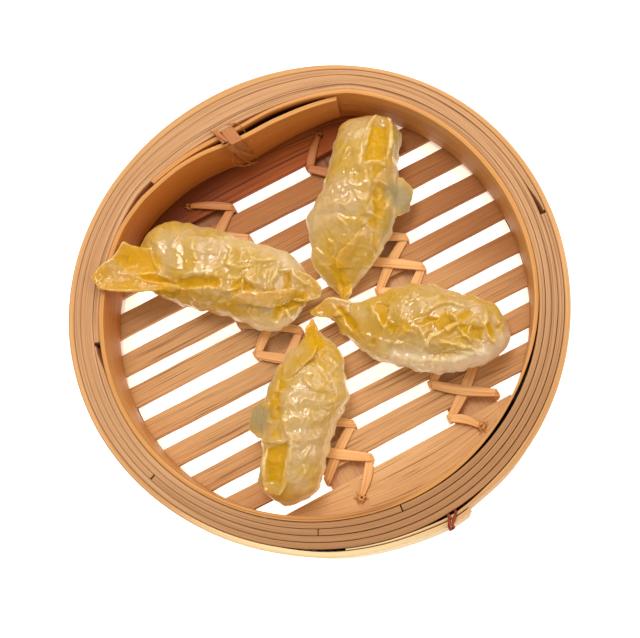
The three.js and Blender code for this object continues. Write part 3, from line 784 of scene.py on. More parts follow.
BOARDS = (
    ("board_far", lambda x: FAR_EDGE, 1, LACE_STARTS, shaded_far_board_bamboo, "bamboo_dark"),
    ("board_near", lambda x: NEAR_EDGE + NEAR_SLANT * x, -1, LACE_ENDS, board_bamboo, "bamboo"),
)
for number, (node, edge, side, holes, finish, slot) in enumerate(BOARDS):
    left, right = floor_x(edge(0), -1) + 2, floor_x(edge(0), 1) - 2

    def place(x, through, across):
        inward = 1 - across if side > 0 else across
        return x, mix(floor_y(x, side), edge(x), inward), mix(SLAT_BOTTOM, FLOOR_TOP, through)

    stations = steps(left, right, 1.2)
    bm = sweep(stations, SLAT_THICK, BOARD_WIDE, FLOOR_CORNER, place, 173.0 * (number + 1))
    drilled(set_down(bm, "bamboo_" + node, finish, slot, node), holes)

# %% Cross bars
BARS = ((-22.7, -0.034), (35.5, -0.025))
BAR_WIDTH, BAR_SHORT = 19.5, SLAT_TUCK + 3
for number, (centre, slant) in enumerate(BARS):

    def place(along, through, across):
        x = centre + BAR_WIDTH * (across - 0.5)
        y = mix(floor_y(x, -1) + BAR_SHORT, floor_y(x, 1) - BAR_SHORT, along)
        return x + slant * y, y, mix(BAR_BOTTOM, BAR_TOP, through)

    bm = sweep(steps(0, 1, 1 / 50), BAR_THICK, BAR_WIDTH, 0.5, place, 97.0 * (number + 1))
    node = f"cross_bar_{number + 1}"
    set_down(bm, "bamboo_" + node, bar_bamboo, "bamboo_dark", node)

# %% [markdown]
# ## Lacing
# Flat split rattan binds each slat to the bars. One strip goes down a gap, under the bar, up the
# next gap and slantwise over the slat; a second strip comes the other way, so that they cross on
# every slat. The corners of its path are listed as stations with a place and two directions, and
# a smooth curve through them bends the strip like the real one.

# %% Path of one lacing strip
LACE_WIDE, LACE_THICK, LACE_GAP, LACE_ROUND = 3.4, 0.7, 0.25, 0.9
HOLE_DEEP, HOLE_RUN, UNDER_ROUND = 2.4, 1.2, 0.8
gap_edges = [FAR_EDGE, *sorted((y for pair in SLAT_EDGES for y in pair), reverse=True), NEAR_EDGE]
LACE_GAPS = [(gap_edges[n] + gap_edges[n + 1]) / 2 for n in range(0, len(gap_edges), 2)]
UP = Vector((0, 0, 1))


def lace_path(centre, slant, way, tier, start_hole, end_hole):
    layer = LACE_GAP + LACE_THICK / 2 + tier * (LACE_GAP + LACE_THICK)
    edge = BAR_WIDTH / 2 + layer
    over, under = FLOOR_TOP + layer, BAR_BOTTOM - layer
    out, plain = Vector((way, 0, 0)), Vector((0, way, 0))
    path = []

    def landing(spot, run, sign, hole):
        side = UP.cross(run)
        if hole:
            narrow = 0.62 * LACE_WIDE
            return [
                (spot + UP * (FLOOR_TOP - HOLE_DEEP), -sign * run, side, narrow),
                (spot + sign * HOLE_RUN * run + UP * over, UP, side, narrow),
            ]
        inward = sign * LACE_ROUND * Vector((way, run.y, 0))
        return [
            (spot + UP * (over - LACE_ROUND), -sign * out, plain, LACE_WIDE),
            (spot + inward + UP * over, UP, side, LACE_WIDE),
        ]

    def crossing(start, stop, from_hole=False, to_hole=False):
        run = (stop - start).normalized()
        path.extend(landing(start, run, 1, from_hole))
        path.extend(reversed(landing(stop, run, -1, to_hole)))

    def pass_under(y):
        middle = centre + slant * y
        inner = edge - UNDER_ROUND
        for sideways, height, face in (
            (edge, under + UNDER_ROUND, out),
            (inner, under, -UP),
            (-inner, under, -UP),
            (-edge, under + UNDER_ROUND, -out),
        ):
            path.append((Vector((middle + way * sideways, y, height)), face, plain, LACE_WIDE))

    def corner(y, side):
        return Vector((centre + slant * y + side * way * edge, y, 0))

    if start_hole:
        crossing(Vector((*start_hole, 0)), corner(LACE_GAPS[0], 1), from_hole=True)
    for n in range(len(LACE_GAPS) - 1):
        if n > 0 or start_hole:
            pass_under(LACE_GAPS[n])
        crossing(corner(LACE_GAPS[n], -1), corner(LACE_GAPS[n + 1], 1))
    if end_hole:
        pass_under(LACE_GAPS[-1])
        crossing(corner(LACE_GAPS[-1], -1), Vector((*end_hole, 0)), to_hole=True)
    return path


def between(path, at):
    n = min(int(at), len(path) - 2)
    share = ease(at - n, 0, 1)
    spot, _, _, wide = (mix(a, b, at - n) for a, b in zip(path[n], path[n + 1]))
    face, side = (mix(a, b, share) for a, b in zip(path[n][1:3], path[n + 1][1:3]))
    return spot, face.normalized(), side.normalized(), wide


print("the lacing comes up in", len(LACE_GAPS), "gaps")

# %% Lay the four strips
LACES = (  # node, bar, way, layer, hole where it starts, hole where it ends
    ("lace_left_over", 0, 1, 1, LACE_STARTS[0], None),
    ("lace_left_under", 0, -1, 0, None, LACE_ENDS[0]),
    ("lace_right_over", 1, 1, 1, None, LACE_ENDS[1]),
    ("lace_right_under", 1, -1, 0, LACE_STARTS[1], None),
)
for number, (node, bar, way, tier, start_hole, end_hole) in enumerate(LACES):
    path = lace_path(*BARS[bar], way, tier, start_hole, end_hole)

    def place(at, through, across):
        spot, face, side, wide = between(path, at)
        n = min(int(at), len(path) - 2)
        arch = math.sin(math.pi * (at - n)) * (path[n][1].z + path[n + 1][1].z > 1.9)
        spot = spot + side * arch * (0.9 * math.sin(2.7 * n + number)) + UP * 0.25 * arch
        uneven = 1 + 0.3 * arch + 0.12 * noise.noise(Vector((at * 0.7, number * 5.0, 0)))
        crown = 0.16 * (1 - (2 * across - 1) ** 2) * through
        raised = LACE_THICK * (through - 0.5) + crown
        return spot + side * wide * uneven * (across - 0.5) + face * raised

    stations = steps(0, len(path) - 1, 1 / 6)
    bm = sweep(stations, LACE_THICK, LACE_WIDE, 0.2, place, 59.0 * number, rows=3)
    set_down(bm, "rattan_" + node, rattan, "rattan", node, sharp=SOFT_EDGE)

# %% [markdown]
# ## Ties and loose fibres
# A wider rattan strip ties the two laps of the inner hoop together and a red thread ties the
# outer band. Both are torn rather than trimmed, so a few stray fibres stand out beside them and
# where the lacing dives into the boards. A fibre is a thin sweep along a few points. Hair
# particles could do the same, but a few sweeps give each fibre its own place.

# %% Rattan tie
TIE_THICK, TIE_WIDE = 0.8, 4.4
tie_inner = hoop_outside(HOOP_TIE_AT) - HOOP_THICK - GAP - 0.4
tie_outer = hoop_outside(360 + HOOP_TIE_AT) + GAP + 0.4
TIE_PATH = (  # radius, height, outward, upward, sideways, width
    (tie_inner, FLOOR_TOP + 4, -1, 0, 1.8, 3.0),
    (tie_inner - 0.3, RIM_TOP - 12, -1, 0, 1.4, 5.4),
    (tie_inner, RIM_TOP - 1.6, -1, 0, 0.7, 5.8),
    (tie_inner + 0.5, RIM_TOP + 0.7, -0.7, 0.7, 0.5, 5.8),
    (tie_outer - 0.3, RIM_TOP + 0.7, 0.7, 0.7, -0.4, 5.4),
    (tie_outer, RIM_TOP - 1, 1, 0, -0.6, 5),
    (tie_outer, RIM_TOP - 9, 1, 0, -0.6, 4.2),
)
TIE_WRAP = (
    (tie_outer + 0.9, RIM_TOP - 4, 1, 0, -5.4, 1.8),
    (tie_outer + 0.6, RIM_TOP + 1.6, 0.7, 0.7, -5.0, 2.2),
    (tie_inner + 0.2, RIM_TOP + 1.7, -0.7, 0.7, -3.0, 2.6),
    (tie_inner - 1, RIM_TOP - 2, -1, 0, -1.8, 2.8),
    (tie_inner - 1.2, RIM_TOP - 12, -1, 0, 2.2, 2.4),
    (tie_inner - 0.9, RIM_TOP - 18, -1, 0, 4.2, 1.2),
)


def tie_strip(path):
    def place(at, through, across):
        n = min(int(at), len(path) - 2)
        row = (mix(a, b, at - n) for a, b in zip(path[n], path[n + 1]))
        radius, height, out, rise, side, wide = row
        depth = TIE_THICK * (through - 0.5)
        return wide * (0.5 - across) + side, radius + depth * out, height + depth * rise

    return sweep(steps(0, len(path) - 1, 1 / 6), TIE_THICK, TIE_WIDE, 0.2, place, 7.0)


set_down(tie_strip(TIE_PATH), "rattan_hoop_tie", rattan, "rattan", "hoop_tie", sharp=SOFT_EDGE)
set_down(tie_strip(TIE_WRAP), "rattan_hoop_tie_second_turn", rattan, "rattan", sharp=SOFT_EDGE)

# %% Strands and the thread
def bent_path(points):
    def at(t):
        n = min(int(t), len(points) - 2)
        before, after = points[max(n - 1, 0)], points[min(n + 2, len(points) - 1)]
        a, b, share = points[n], points[n + 1], t - n
        out_a, in_b = (b - before) * 0.25, (after - a) * 0.25
        smooth = share * share * (3 - 2 * share)
        return (
            mix(a, b, smooth)
            + out_a * (share**3 - 2 * share**2 + share)
            + in_b * (share**3 - share**2)
        )

    return at


def strand(points, radius, taper, number):
    line, last = bent_path(points), len(points) - 1

    def place(at, through, across):
        ahead = (line(min(at + 0.05, last)) - line(max(at - 0.05, 0))).normalized()
        side = ahead.cross(Vector((0.31, 0.22, 0.93))).normalized()
        thin = radius * mix(1, taper, at / last)
        twist = 0.9 * at * (taper == 1)
        turned = Matrix.Rotation(twist * 3, 3, ahead) @ side
        off = (through - 0.5) * turned + (across - 0.5) * ahead.cross(turned)
        return line(at) + 2 * thin * off

    wide = 2 * radius
    return sweep(steps(0, last, 1 / 7), wide, wide, 0.55 * radius, place, number, rounding=0)


THREAD_RADIUS = 0.5
reach = THREAD_RADIUS + 0.2
thread_inner = band_inside(BAND_TIE_AT) - reach
thread_outer = band_outside(360 + BAND_TIE_AT) + reach + GAP
thread_over = RIM_TOP + reach + GAP
THREAD_TURNS = (  # sideways, radius, height
    (-1.2, thread_inner, RIM_TOP - 5),
    (-1.2, thread_inner, RIM_TOP + 0.1),
    (-1.1, thread_inner + 0.7, thread_over),
    (-3.3, thread_outer - 0.9, thread_over),
    (-3.3, thread_outer, RIM_TOP - 0.3),
    (-3.3, thread_outer, RIM_TOP - 6),
    (-1.8, thread_outer, RIM_TOP - 6),
    (-1.8, thread_outer, RIM_TOP - 0.3),
    (-1.8, thread_outer - 0.9, thread_over),
    (1.8, thread_inner + 0.7, thread_over),
    (1.9, thread_inner, RIM_TOP + 0.1),
    (1.9, thread_inner, RIM_TOP - 5),
)


def round_the_band(across, radius, height):
    turn = math.radians(BAND_TIE_AT) + across / radius
    return Vector((radius * math.cos(turn), radius * math.sin(turn), height))


bm = strand([round_the_band(*spot) for spot in THREAD_TURNS], THREAD_RADIUS, 1, 3.0)
set_down(bm, "thread_band_tie", thread, "thread", "band_tie", sharp=None)

# %% Stray fibres
FIBRE_TAPER, SPOKES = 0.35, 20
tie_y = tie_inner - 0.9
TIE_FIBRES = (  # radius, then points with their height over the rim
    (0.22, (1.5, tie_inner + 2, 1.2), (3.4, tie_y, -2), (4.0, tie_y - 1, -9)),
    (0.24, (-3.6, tie_inner + 4, 1), (-2.2, tie_y, -1), (0.8, tie_y - 2.5, -13), (3.6, tie_y - 4, -17)),
    (0.3, (-2.6, tie_y + 0.4, -3), (-3.4, tie_y - 0.4, -8), (-1.8, tie_y - 1.5, -15)),
    (0.28, (-1.4, tie_y + 0.2, -10), (-2.8, tie_y - 1, -16), (1.4, tie_y - 2.2, -20)),
    (0.22, (-7, tie_outer + 3, 0.9), (-3, tie_inner + 2, 2.8), (1, tie_y - 1, -3), (6, tie_y - 3, -15)),
    (0.22, (0.5, tie_outer + 1, 1.6), (5, tie_outer - 1, 2), (6.4, tie_y, -3), (3.6, tie_y - 1, -10)),
    (0.3, (-4, tie_y, -8), (-4.6, tie_y - 1.2, -13), (-1, tie_y - 2, -18), (5, tie_y - 2.6, -19)),
)


def fray(name, tufts):
    whole = bmesh.new()
    whole.verts.layers.float_vector.new("grain")
    for number, (radius, *points) in enumerate(tufts):
        bm = strand([Vector(p) for p in points], radius, FIBRE_TAPER, 13.0 * number)
        part = bpy.data.meshes.new("fibre")
        bm.to_mesh(part)
        bm.free()
        whole.from_mesh(part)
        bpy.data.meshes.remove(part)
    set_down(whole, name, rattan, "rattan", sharp=None)


fray(
    "stray_fibres_tie",
    [(radius, *((x, y, RIM_TOP + over) for x, y, over in points)) for radius, *points in TIE_FIBRES],
)
rng = np.random.default_rng(11)
tufts = []
for x, y in (*LACE_STARTS, *LACE_ENDS):
    for spoke in range(SPOKES):
        turn = 2 * math.pi * (spoke + rng.uniform(-0.3, 0.3)) / SPOKES
        reach = rng.uniform(1.4, 3.8) if y < 0 else rng.uniform(1.2, 2.6)
        spin = Vector((math.cos(turn), math.sin(turn), 0))
        root = Vector((x, y, FLOOR_TOP - 0.6)) + spin * 0.4
        knee = Vector((x, y, FLOOR_TOP + rng.uniform(0.8, 1.3))) + spin * 0.9
        tufts.append((0.3, root, knee, Vector((x, y, FLOOR_TOP + 0.35)) + spin * reach))
fray("stray_fibres_holes", tufts)

# %% [markdown]
# ## Dumplings
# A dumpling is a filled half-moon of thin dough, pinched shut along a folded seam. Its form
# comes in three steps. First a ball is pulled into the filled body, whose two edges and height
# run through a few listed rows, and thin sheets are set on it: leaves and flaps. Second, a voxel
# remesh melts them into one skin. Third, folds are drawn on that skin like strokes of a
# modelling tool. Sculpting by hand gives the same, but strokes in a list can be changed and
# run again.

# %% Smooth runs through a few rows
def run_through(rows):
    points = [np.array(row, float) for row in rows]
    last = len(points) - 1
    samples = []
    for t in np.linspace(0, last, 8 * len(rows) + 1):
        n = min(int(t), last)
        share = t - n
        before, a = points[max(n - 1, 0)], points[n]
        b, after = points[min(n + 1, last)], points[min(n + 2, last)]
        out_a, in_b = (b - before) / 2, (after - a) / 2
        samples.append(
            (2 * a - 2 * b + out_a + in_b) * share**3
            + (3 * b - 3 * a - 2 * out_a - in_b) * share**2
            + out_a * share
            + a
        )
    across, value = np.array(samples).T
    return lambda s: np.interp(s, across, value)


def signed_power(value, exponent):
    return math.copysign(abs(value) ** exponent, value)


hill = run_through([(0, 0), (1, 1), (2, 0)])
print("half way to its top, a run through 0, 1, 0 is at", round(float(hill(0.5)), 2))

# %% The filled body
GIRTH, LUMPS = 8, 0.6


class Filling:
    """The filled body of one dumpling: edges and height along it."""

    def __init__(self, left, right, height):
        self.left, self.right = run_through(left), run_through(right)
        self.height = run_through(height)
        self.start, self.end = left[0][0], left[-1][0]

    def swell(self, bm):
        made = bmesh.ops.create_uvsphere(bm, u_segments=96, v_segments=80, radius=1)
        for point in made["verts"]:
            along = math.acos(min(max(point.co.z, -1), 1)) / math.pi
            ring = max(math.hypot(point.co.x, point.co.y), 1e-6)
            across, up = point.co.x / ring, point.co.y / ring
            s = mix(self.start, self.end, along)
            closing = math.sqrt(max(1 - abs(2 * along - 1) ** 9, 0))
            left, right, top = self.left(s), self.right(s), self.height(s)
            waist = min(GIRTH, 0.5 * top)
            rise = (top - waist) * signed_power(up, 0.85) if up > 0 else waist * signed_power(up, 0.55)
            lump = LUMPS * math.sin(0.45 * s + 3 * across) * math.cos(0.31 * s - 2 * up)
            half = (left - right) / 2 + lump
            q = (left + right) / 2 + closing * half * signed_power(across, 0.85)
            point.co = (s, q, waist + closing * (rise + (lump * up if up > 0 else 0)))

    def skin(self, s, q):
        middle = (self.left(s) + self.right(s)) / 2
        half = np.maximum((self.left(s) - self.right(s)) / 2, 0.5)
        across = np.minimum(abs(q - middle) / half, 0.98)
        return self.height(s) * (0.4 + 0.6 * np.sqrt(1 - across**2))


print("a body is widest", GIRTH, "mm up, or half way where it is low")

# %% Leaves and flaps of thin dough
LEAF_THICK = 1.2


def sheet_of_dough(bm, cells_along, cells_across, thick, place):
    made = bmesh.ops.create_grid(bm, x_segments=cells_along, y_segments=cells_across, size=0.5)
    for point in made["verts"]:
        point.co = place(point.co.x + 0.5, point.co.y + 0.5)
    faces = list({face for point in made["verts"] for face in point.link_faces})
    bmesh.ops.recalc_face_normals(bm, faces=faces)
    bmesh.ops.solidify(bm, geom=faces, thickness=thick)


def add_leaf(bm, start, stop, wide, dish, roll, blunt=0.7):
    a, run = Vector(start), Vector(stop) - Vector(start)
    ahead = Vector((run.x, run.y, 0)).normalized()
    side = Vector((-ahead.y, ahead.x, 0))

    def place(i, j):
        across = 2 * j - 1
        share = max(math.sin(math.pi * mix(0.06, 0.94, i)) ** blunt, 1 / wide)
        point = a + run * i + side * (0.5 * wide * share * across)
        point.z += dish * across**2 * share + roll * across
        point.z += 0.5 * noise.noise(point * 0.22)
        return point

    sheet_of_dough(bm, 60, 36, LEAF_THICK, place)


def add_flap(bm, filling, upper, lower, sag=0.0, bow=0.0, thick=1.0, on_skin=False):
    upper, lower = (
        [Vector((s, q, z + (filling.skin(s, q) if on_skin else 0))) for s, q, z in edge]
        for edge in (upper, lower)
    )
    one, other = bent_path(upper), bent_path(lower)
    ahead = (upper[-1] + lower[-1] - upper[0] - lower[0]).normalized()

    def place(i, j):
        point = mix(one(i * (len(upper) - 1)), other(i * (len(lower) - 1)), j)
        bulge = 4 * j * (1 - j)
        point = point + ahead * (bow * bulge * i * i)
        point.z += 0.45 * noise.noise(point * 0.25) - sag * bulge * ease(i, 0.05, 0.45)
        return point

    sheet_of_dough(bm, 60, 40, thick, place)


print("sheets of dough are ready")

# %% [markdown]
# ## Drawing folds on the skin
# The remesh turns the body and its sheets into one even net of points, less than half a
# millimetre apart. NumPy moves them all at once, which is far quicker than a loop over vertices.
# A fold is a line in plan with a height and a width: near it the skin rises, or sinks for a
# pocket. One side of a ridge may be steep, like a sheet lying over another. A facet is a
# three-cornered pleat with a height at each corner. A wash is a broad stroke that lifts nothing
# and only leaves colour.

# %% One skin and its points
VOXEL = 0.38


def melt(bm, name):
    loose = bpy.data.meshes.new(name + "_loose")
    bm.to_mesh(loose)
    bm.free()
    lump = bpy.data.objects.new(name + "_loose", loose)
    bpy.context.scene.collection.objects.link(lump)
    remesh = lump.modifiers.new("one_skin", "REMESH")
    remesh.mode = "VOXEL"
    remesh.voxel_size = VOXEL
    seen = lump.evaluated_get(bpy.context.evaluated_depsgraph_get())
    mesh = bpy.data.meshes.new_from_object(seen)
    bpy.data.objects.remove(lump)
    bpy.data.meshes.remove(loose)
    return mesh


def read_rows(data, title):
    flat = np.empty(3 * len(data), np.float32)
    data.foreach_get(title, flat)
    return flat.reshape(-1, 3).astype(float)


def points_of(mesh):
    return read_rows(mesh.vertices, "co")


def normals_of(mesh):
    return read_rows(mesh.vertex_normals, "vector")


def write_points(mesh, points):
    mesh.vertices.foreach_set("co", points.astype(np.float32).ravel())
    mesh.update()


def edges_of(mesh):
    pairs = np.empty(2 * len(mesh.edges), np.int32)
    mesh.edges.foreach_get("vertices", pairs)
    pairs = pairs.reshape(-1, 2)
    return pairs, np.maximum(np.bincount(pairs.ravel(), minlength=len(mesh.vertices)), 1)


def neighbour_mean(values, edges, count):
    total = np.zeros_like(values)
    np.add.at(total, edges[:, 0], values[edges[:, 1]])
    np.add.at(total, edges[:, 1], values[edges[:, 0]])
    return total / count[:, None]


print("skins have points", VOXEL, "mm apart")

# %% Lines, facets and washes
def ease_array(x, low, high):
    share = np.clip((x - low) / (high - low), 0, 1)
    return share * share * (3 - 2 * share)


def distance_to_line(points, line):
    best = np.full(len(points), 1e9)
    side = np.zeros(len(points))
    along = np.zeros(len(points))
    for n, (a, b) in enumerate(zip(np.array(line[:-1], float), np.array(line[1:], float))):
        run = b - a
        share = np.clip(((points - a) @ run) / (run @ run), 0, 1)
        off = points - a - share[:, None] * run
        far = np.hypot(off[:, 0], off[:, 1])
        nearer = far < best
        best[nearer] = far[nearer]
        side[nearer] = np.sign(run[0] * off[:, 1] - run[1] * off[:, 0])[nearer]
        along[nearer] = ((n + share) / (len(line) - 1))[nearer]
    return best, side, along


def turned_by(run, points):
    return run[0] * points[..., 1] - run[1] * points[..., 0]


def on_facet(points, *corners):
    a, b, c = (np.array(corner[:2], float) for corner in corners)
    whole = turned_by(b - a, c - a)
    height, depth = np.zeros(len(points)), np.full(len(points), 1e9)
    for start, stop, opposite in ((b, c, corners[0]), (c, a, corners[1]), (a, b, corners[2])):
        share = turned_by(stop - start, points - start) / whole
        height += share * opposite[2]
        depth = np.minimum(depth, share * abs(whole) / np.linalg.norm(stop - start))
    return ease_array(depth, -0.6, 0.7), height


def wash(plan, strokes):
    amount = np.zeros(len(plan))
    for line, wide, share in strokes:
        far, _, _ = distance_to_line(plan, line)
        amount = np.maximum(amount, share * np.exp(-((far / wide) ** 3)))
    return amount


print("strokes are ready")

# %% [markdown]
# ## Crinkles and crumple
# Between its folds, wet dough is crumpled, and that breaks up its highlights. Short crinkles are
# drawn at random, always from the same seed so that every run gives the same dumpling. Below
# them lies a crumple made from noise: two nets of sharp crests, stronger in some places than in
# others. A bump in the finish could fake it, but real crests also show at the outline. The
# noise that bends both, noise_vector, starts from the clock unless it is given a seed, and
# then every run would crease the dough anew.

# %% Small wrinkles
CRINKLES, CREASE_SEED = 48, 7
noise.seed_set(CREASE_SEED)


def random_crinkles(rng, filling):
    lines = []
    for _ in range(CRINKLES):
        s = rng.uniform(filling.start + 6, filling.end - 4)
        q = rng.uniform(filling.right(s) + 2, filling.left(s) - 2)
        turn = rng.uniform(0, 2 * math.pi)
        line = [(s, q)]
        for _ in range(rng.integers(2, 5)):
            turn += rng.uniform(-0.5, 0.5)
            step = rng.uniform(1.6, 3.6)
            s, q = s + step * math.cos(turn), q + step * math.sin(turn)
            line.append((s, q))
        lines.append((line, rng.uniform(0.2, 0.42), rng.uniform(0.4, 0.7), rng.choice((-1, 0, 1))))
    return lines


def crest_net(point, wide):
    cells = noise.voronoi(point)[0]
    return math.exp(-(((cells[1] - cells[0]) / wide) ** 2))


def crumple(point, shift):
    bent = point * 0.17 + shift + 0.7 * noise.noise_vector(point * 0.09 + shift)
    share = 0.3 + 0.7 * ease(noise.noise(point * 0.07 - shift), -0.2, 0.25)
    net, fine_net = crest_net(bent * 1.25, 0.13), crest_net(bent * 2.6, 0.16)
    swell = 0.5 * (0.45 - noise.turbulence(bent * 0.7, 2, True))
    return share * (swell + 0.17 * net + 0.09 * fine_net)


def over_all(rule, points):
    return np.array([rule(Vector(p)) for p in points])


print(CRINKLES, "crinkles on each dumpling, creases from seed", CREASE_SEED)

# %% Fold a skin
WASHES = ("sheer", "amber", "haze")
WANDER, POCKET_SHARE, FACET_SHARE, FACET_LIMIT = 0.7, 0.75, 0.85, 2.5
SLOW_LIFT, QUICK_LIFT = 0.65, 0.18


def fold_skin(mesh, form, seed):
    filling = form["filling"]
    edges, count = edges_of(mesh)
    points = points_of(mesh)
    for _ in range(2):
        points += 0.4 * (neighbour_mean(points, edges, count) - points)
    write_points(mesh, points)
    normals = normals_of(mesh)
    upper = ease_array(normals[:, 2], -0.15, 0.45) * ease_array(points[:, 2], 2.5, 6)
    shift = Vector((seed, 0.3 * seed, 0))
    bent = over_all(lambda p: noise.noise_vector(p * 0.33 + shift)[:2], points)
    plan = points[:, :2] + WANDER * bent
    sheet = (normals[:, 2] < -0.15) & (points[:, 2] > filling.skin(plan[:, 0], plan[:, 1]) + 0.6)
    lift, gold, pale = np.zeros((3, len(points)))
    crinkles = random_crinkles(np.random.default_rng(seed), filling)
    for line, height, wide, steep in form["ridges"] + crinkles:
        far, side, along = distance_to_line(plan, line)
        reach = np.where(side * steep > 0, 3.2 * wide, np.where(side * steep < 0, 0.45, wide))
        fading = np.sin(np.pi * np.clip(0.06 + 0.88 * along, 0, 1)) ** 0.6
        lift += height * np.exp(-((far / reach) ** (2 if steep == 0 else 1.4))) * fading
        # Each ridge crest turns pale: partly the thin edge's own colour, partly a painted highlight.
        pale += 0.4 * min(height, 1.6) * np.exp(-((far / 0.8) ** 2)) * fading
    for line, depth, wide, *tint in form["pockets"]:
        far, _, _ = distance_to_line(plan, line)
        lift -= POCKET_SHARE * depth * np.exp(-((far / wide) ** 3.2))
        gold += (tint[0] if tint else 1) * np.exp(-((far / (1.25 * wide)) ** 2.4))
    for *corners, tint in form["facets"]:
        inside, height = on_facet(plan, *corners)
        lift += FACET_SHARE * inside * np.clip(height, -FACET_LIMIT, FACET_LIMIT)
        gold = np.maximum(gold, tint * inside)
    washes = {title: wash(plan, form[title]) for title in WASHES}
    slow = over_all(lambda p: noise.noise(p * 0.13 + shift), points)
    quick = over_all(lambda p: noise.noise(p * 0.42 + shift), points)
    small = over_all(lambda p: crumple(p, shift), points)
    lift += SLOW_LIFT * slow + QUICK_LIFT * quick + small
    side = (1 - upper) * ease_array(points[:, 2], 1, 4) * ~sheet
    way = np.where(sheet[:, None], (0, 0, 0.85), 0.65 * normals + np.array((0, 0, 0.35)))
    raised = way * (lift * np.maximum(upper, sheet))[:, None]
    points = points + raised + normals * (side * (small + 0.35 * quick))[:, None]
    skirt = ease_array(points[:, 2], 7, 2) * (np.abs(normals[:, 2]) < 0.85)
    points[:, :2] += normals[:, :2] * (skirt * (0.9 * quick + 0.5 * slow))[:, None]
    points += 0.3 * (neighbour_mean(points, edges, count) - points)
    points[:, 2] = np.maximum(points[:, 2], 0)
    write_points(mesh, points)
    return np.clip(gold, 0, 1) * upper, np.clip(pale, 0, 1) * upper, washes


print("washes:", WASHES)

# %% [markdown]
# ## Marks for the finish
# Dough shows its thickness by its colour, so the finish has to know where it is folded. Each
# point keeps seven marks as attributes. Fold and edge come from the shape: how far a point lies
# below or above the smoothed skin; the drawn ridges add to edge. Gold comes from pockets and
# facets, flank from steep sides, and sheer, amber and haze are the three washes. Fold and gold
# deepen the hollows partly as the thicker dough there and partly as painted shade; edge lightens
# the crests partly as thin dough and partly as a painted highlight; flank marks steep sides that
# are painted paler, as painted light shining through the dough.

# %% Leave the marks
SMOOTHINGS = 28


def mark_skin(mesh, gold, pale, washes):
    points, normals = points_of(mesh), normals_of(mesh)
    edges, count = edges_of(mesh)
    smooth = points.copy()
    for _ in range(SMOOTHINGS):
        smooth += 0.8 * (neighbour_mean(smooth, edges, count) - smooth)
    # Hollows are painted deeper yellow partly as shade, crests paler partly as a highlight.
    hollow = np.einsum("ij,ij->i", smooth - points, normals)
    edge = np.clip(-hollow / 0.8, 0, 1) * (1 - 0.6 * washes["amber"])
    marks = dict(
        fold=np.clip(hollow / 0.9, 0, 1),
        edge=np.clip(edge + 0.4 * pale, 0, 1),
        gold=gold,
        flank=ease_array(normals[:, 2], 0.62, 0.1) * (1 - 0.85 * washes["amber"]),
        **washes,
    )
    for title, values in marks.items():
        layer = mesh.attributes.new(title, "FLOAT", "POINT")
        layer.data.foreach_set("value", values.astype(np.float32))


print("edges and folds are read from", SMOOTHINGS, "smoothings")

# %% [markdown]
# ## The finish of wet dough
# Steamed dough is slightly translucent and shines. Its colour follows its thickness: honey-beige
# over the filling, deep yellow where sheets fold over each other, pale on the free edges, a milky
# haze along listed strokes, and a cool tone where thin dough lets the light through. The deep
# yellow in the hollows is partly painted shade, the pale on the crests partly a painted
# highlight, and steep sides are painted paler as light shining through. Each mark mixes its own
# tone over the last one. Light below the surface, a glow painted into the colour for light that
# passes through the dough, and a wet coat do the rest; in the pockets, where no lamp is mirrored,
# the coat is thin.

# %% Dough finish
# fold and gold: partly painted shade in hollows; edge: partly a painted highlight; flank: painted light
# on steep sides
DOUGH_TINTS = (  # mark, from, to, share, tone
    ("fold", 0.1, 0.8, 0.85, (184, 140, 13)),
    ("amber", 0.0, 1.0, 0.9, (185, 140, 10)),
    ("gold", 0.05, 1.0, 0.95, (194, 146, 8)),
    ("edge", 0.4, 1.0, 0.45, (222, 194, 122)),
    ("flank", 0.0, 1.0, 0.75, (230, 206, 148)),
    ("haze", 0.0, 1.0, 0.8, (228, 211, 176)),
    ("sheer", 0.1, 0.9, 0.8, (152, 138, 100)),
)
# Painted light: the dough glows faintly in its own colour, paler on steep sides and crests, for light
# that passes through the thin skin.
GLOW_TINTS = (("flank", 0.1, 1.0, 0.5, (248, 236, 196)), ("edge", 0.3, 1.0, 0.5, (252, 238, 184)))
dough, tree, skin = new_finish("wet_dough")
object_place = add_node(tree, "TexCoord").outputs["Object"]


def dough_noise(scale, detail):
    spots = add_node(tree, "TexNoise", {"Scale": scale, "Detail": detail})
    tree.links.new(object_place, spots.inputs["Vector"])
    return spots.outputs["Fac"]


def tint(colour, tints):
    for title, low, high, share, tone in tints:
        amount = span(tree, read_mark(tree, title)["Fac"], low, high, 0, share)
        colour = blend(tree, amount, colour, linear(*tone))
    return colour


patches = span(tree, dough_noise(70, 3), 0.38, 0.62)
colour = tint(blend(tree, patches, linear(188, 149, 56), linear(191, 158, 101)), DOUGH_TINTS)
ripples = add_node(tree, "Bump", {"Strength": 0.55, "Distance": 0.001})
dry = add_node(tree, "Math", operation="MAXIMUM")
link_up(
    tree,
    (colour, skin.inputs["Base Color"]),
    (tint(colour, GLOW_TINTS), skin.inputs["Emission Color"]),
    (dough_noise(380, 5), ripples.inputs["Height"]),
    (ripples.outputs["Normal"], skin.inputs["Normal"]),
    (span(tree, dough_noise(420, 4), 0.35, 0.7, 0.38, 0.55), skin.inputs["Roughness"]),
    (read_mark(tree, "gold")["Fac"], dry.inputs[0]),
    (read_mark(tree, "sheer")["Fac"], dry.inputs[1]),
    (span(tree, dry.outputs[0], 0.1, 0.7, 0.75, 0.1), skin.inputs["Coat Weight"]),
)
set_sockets(
    skin,
    {
        "Subsurface Weight": 1.0,
        "Subsurface Radius": (1.0, 0.75, 0.35),
        "Subsurface Scale": 0.004,
        "Specular IOR Level": 0.15,
        "IOR": 1.42,
        "Coat IOR": 1.7,
        "Coat Roughness": 0.1,
        "Emission Strength": 0.2,
    },
)
print("dough finish has", len(tree.nodes), "nodes")

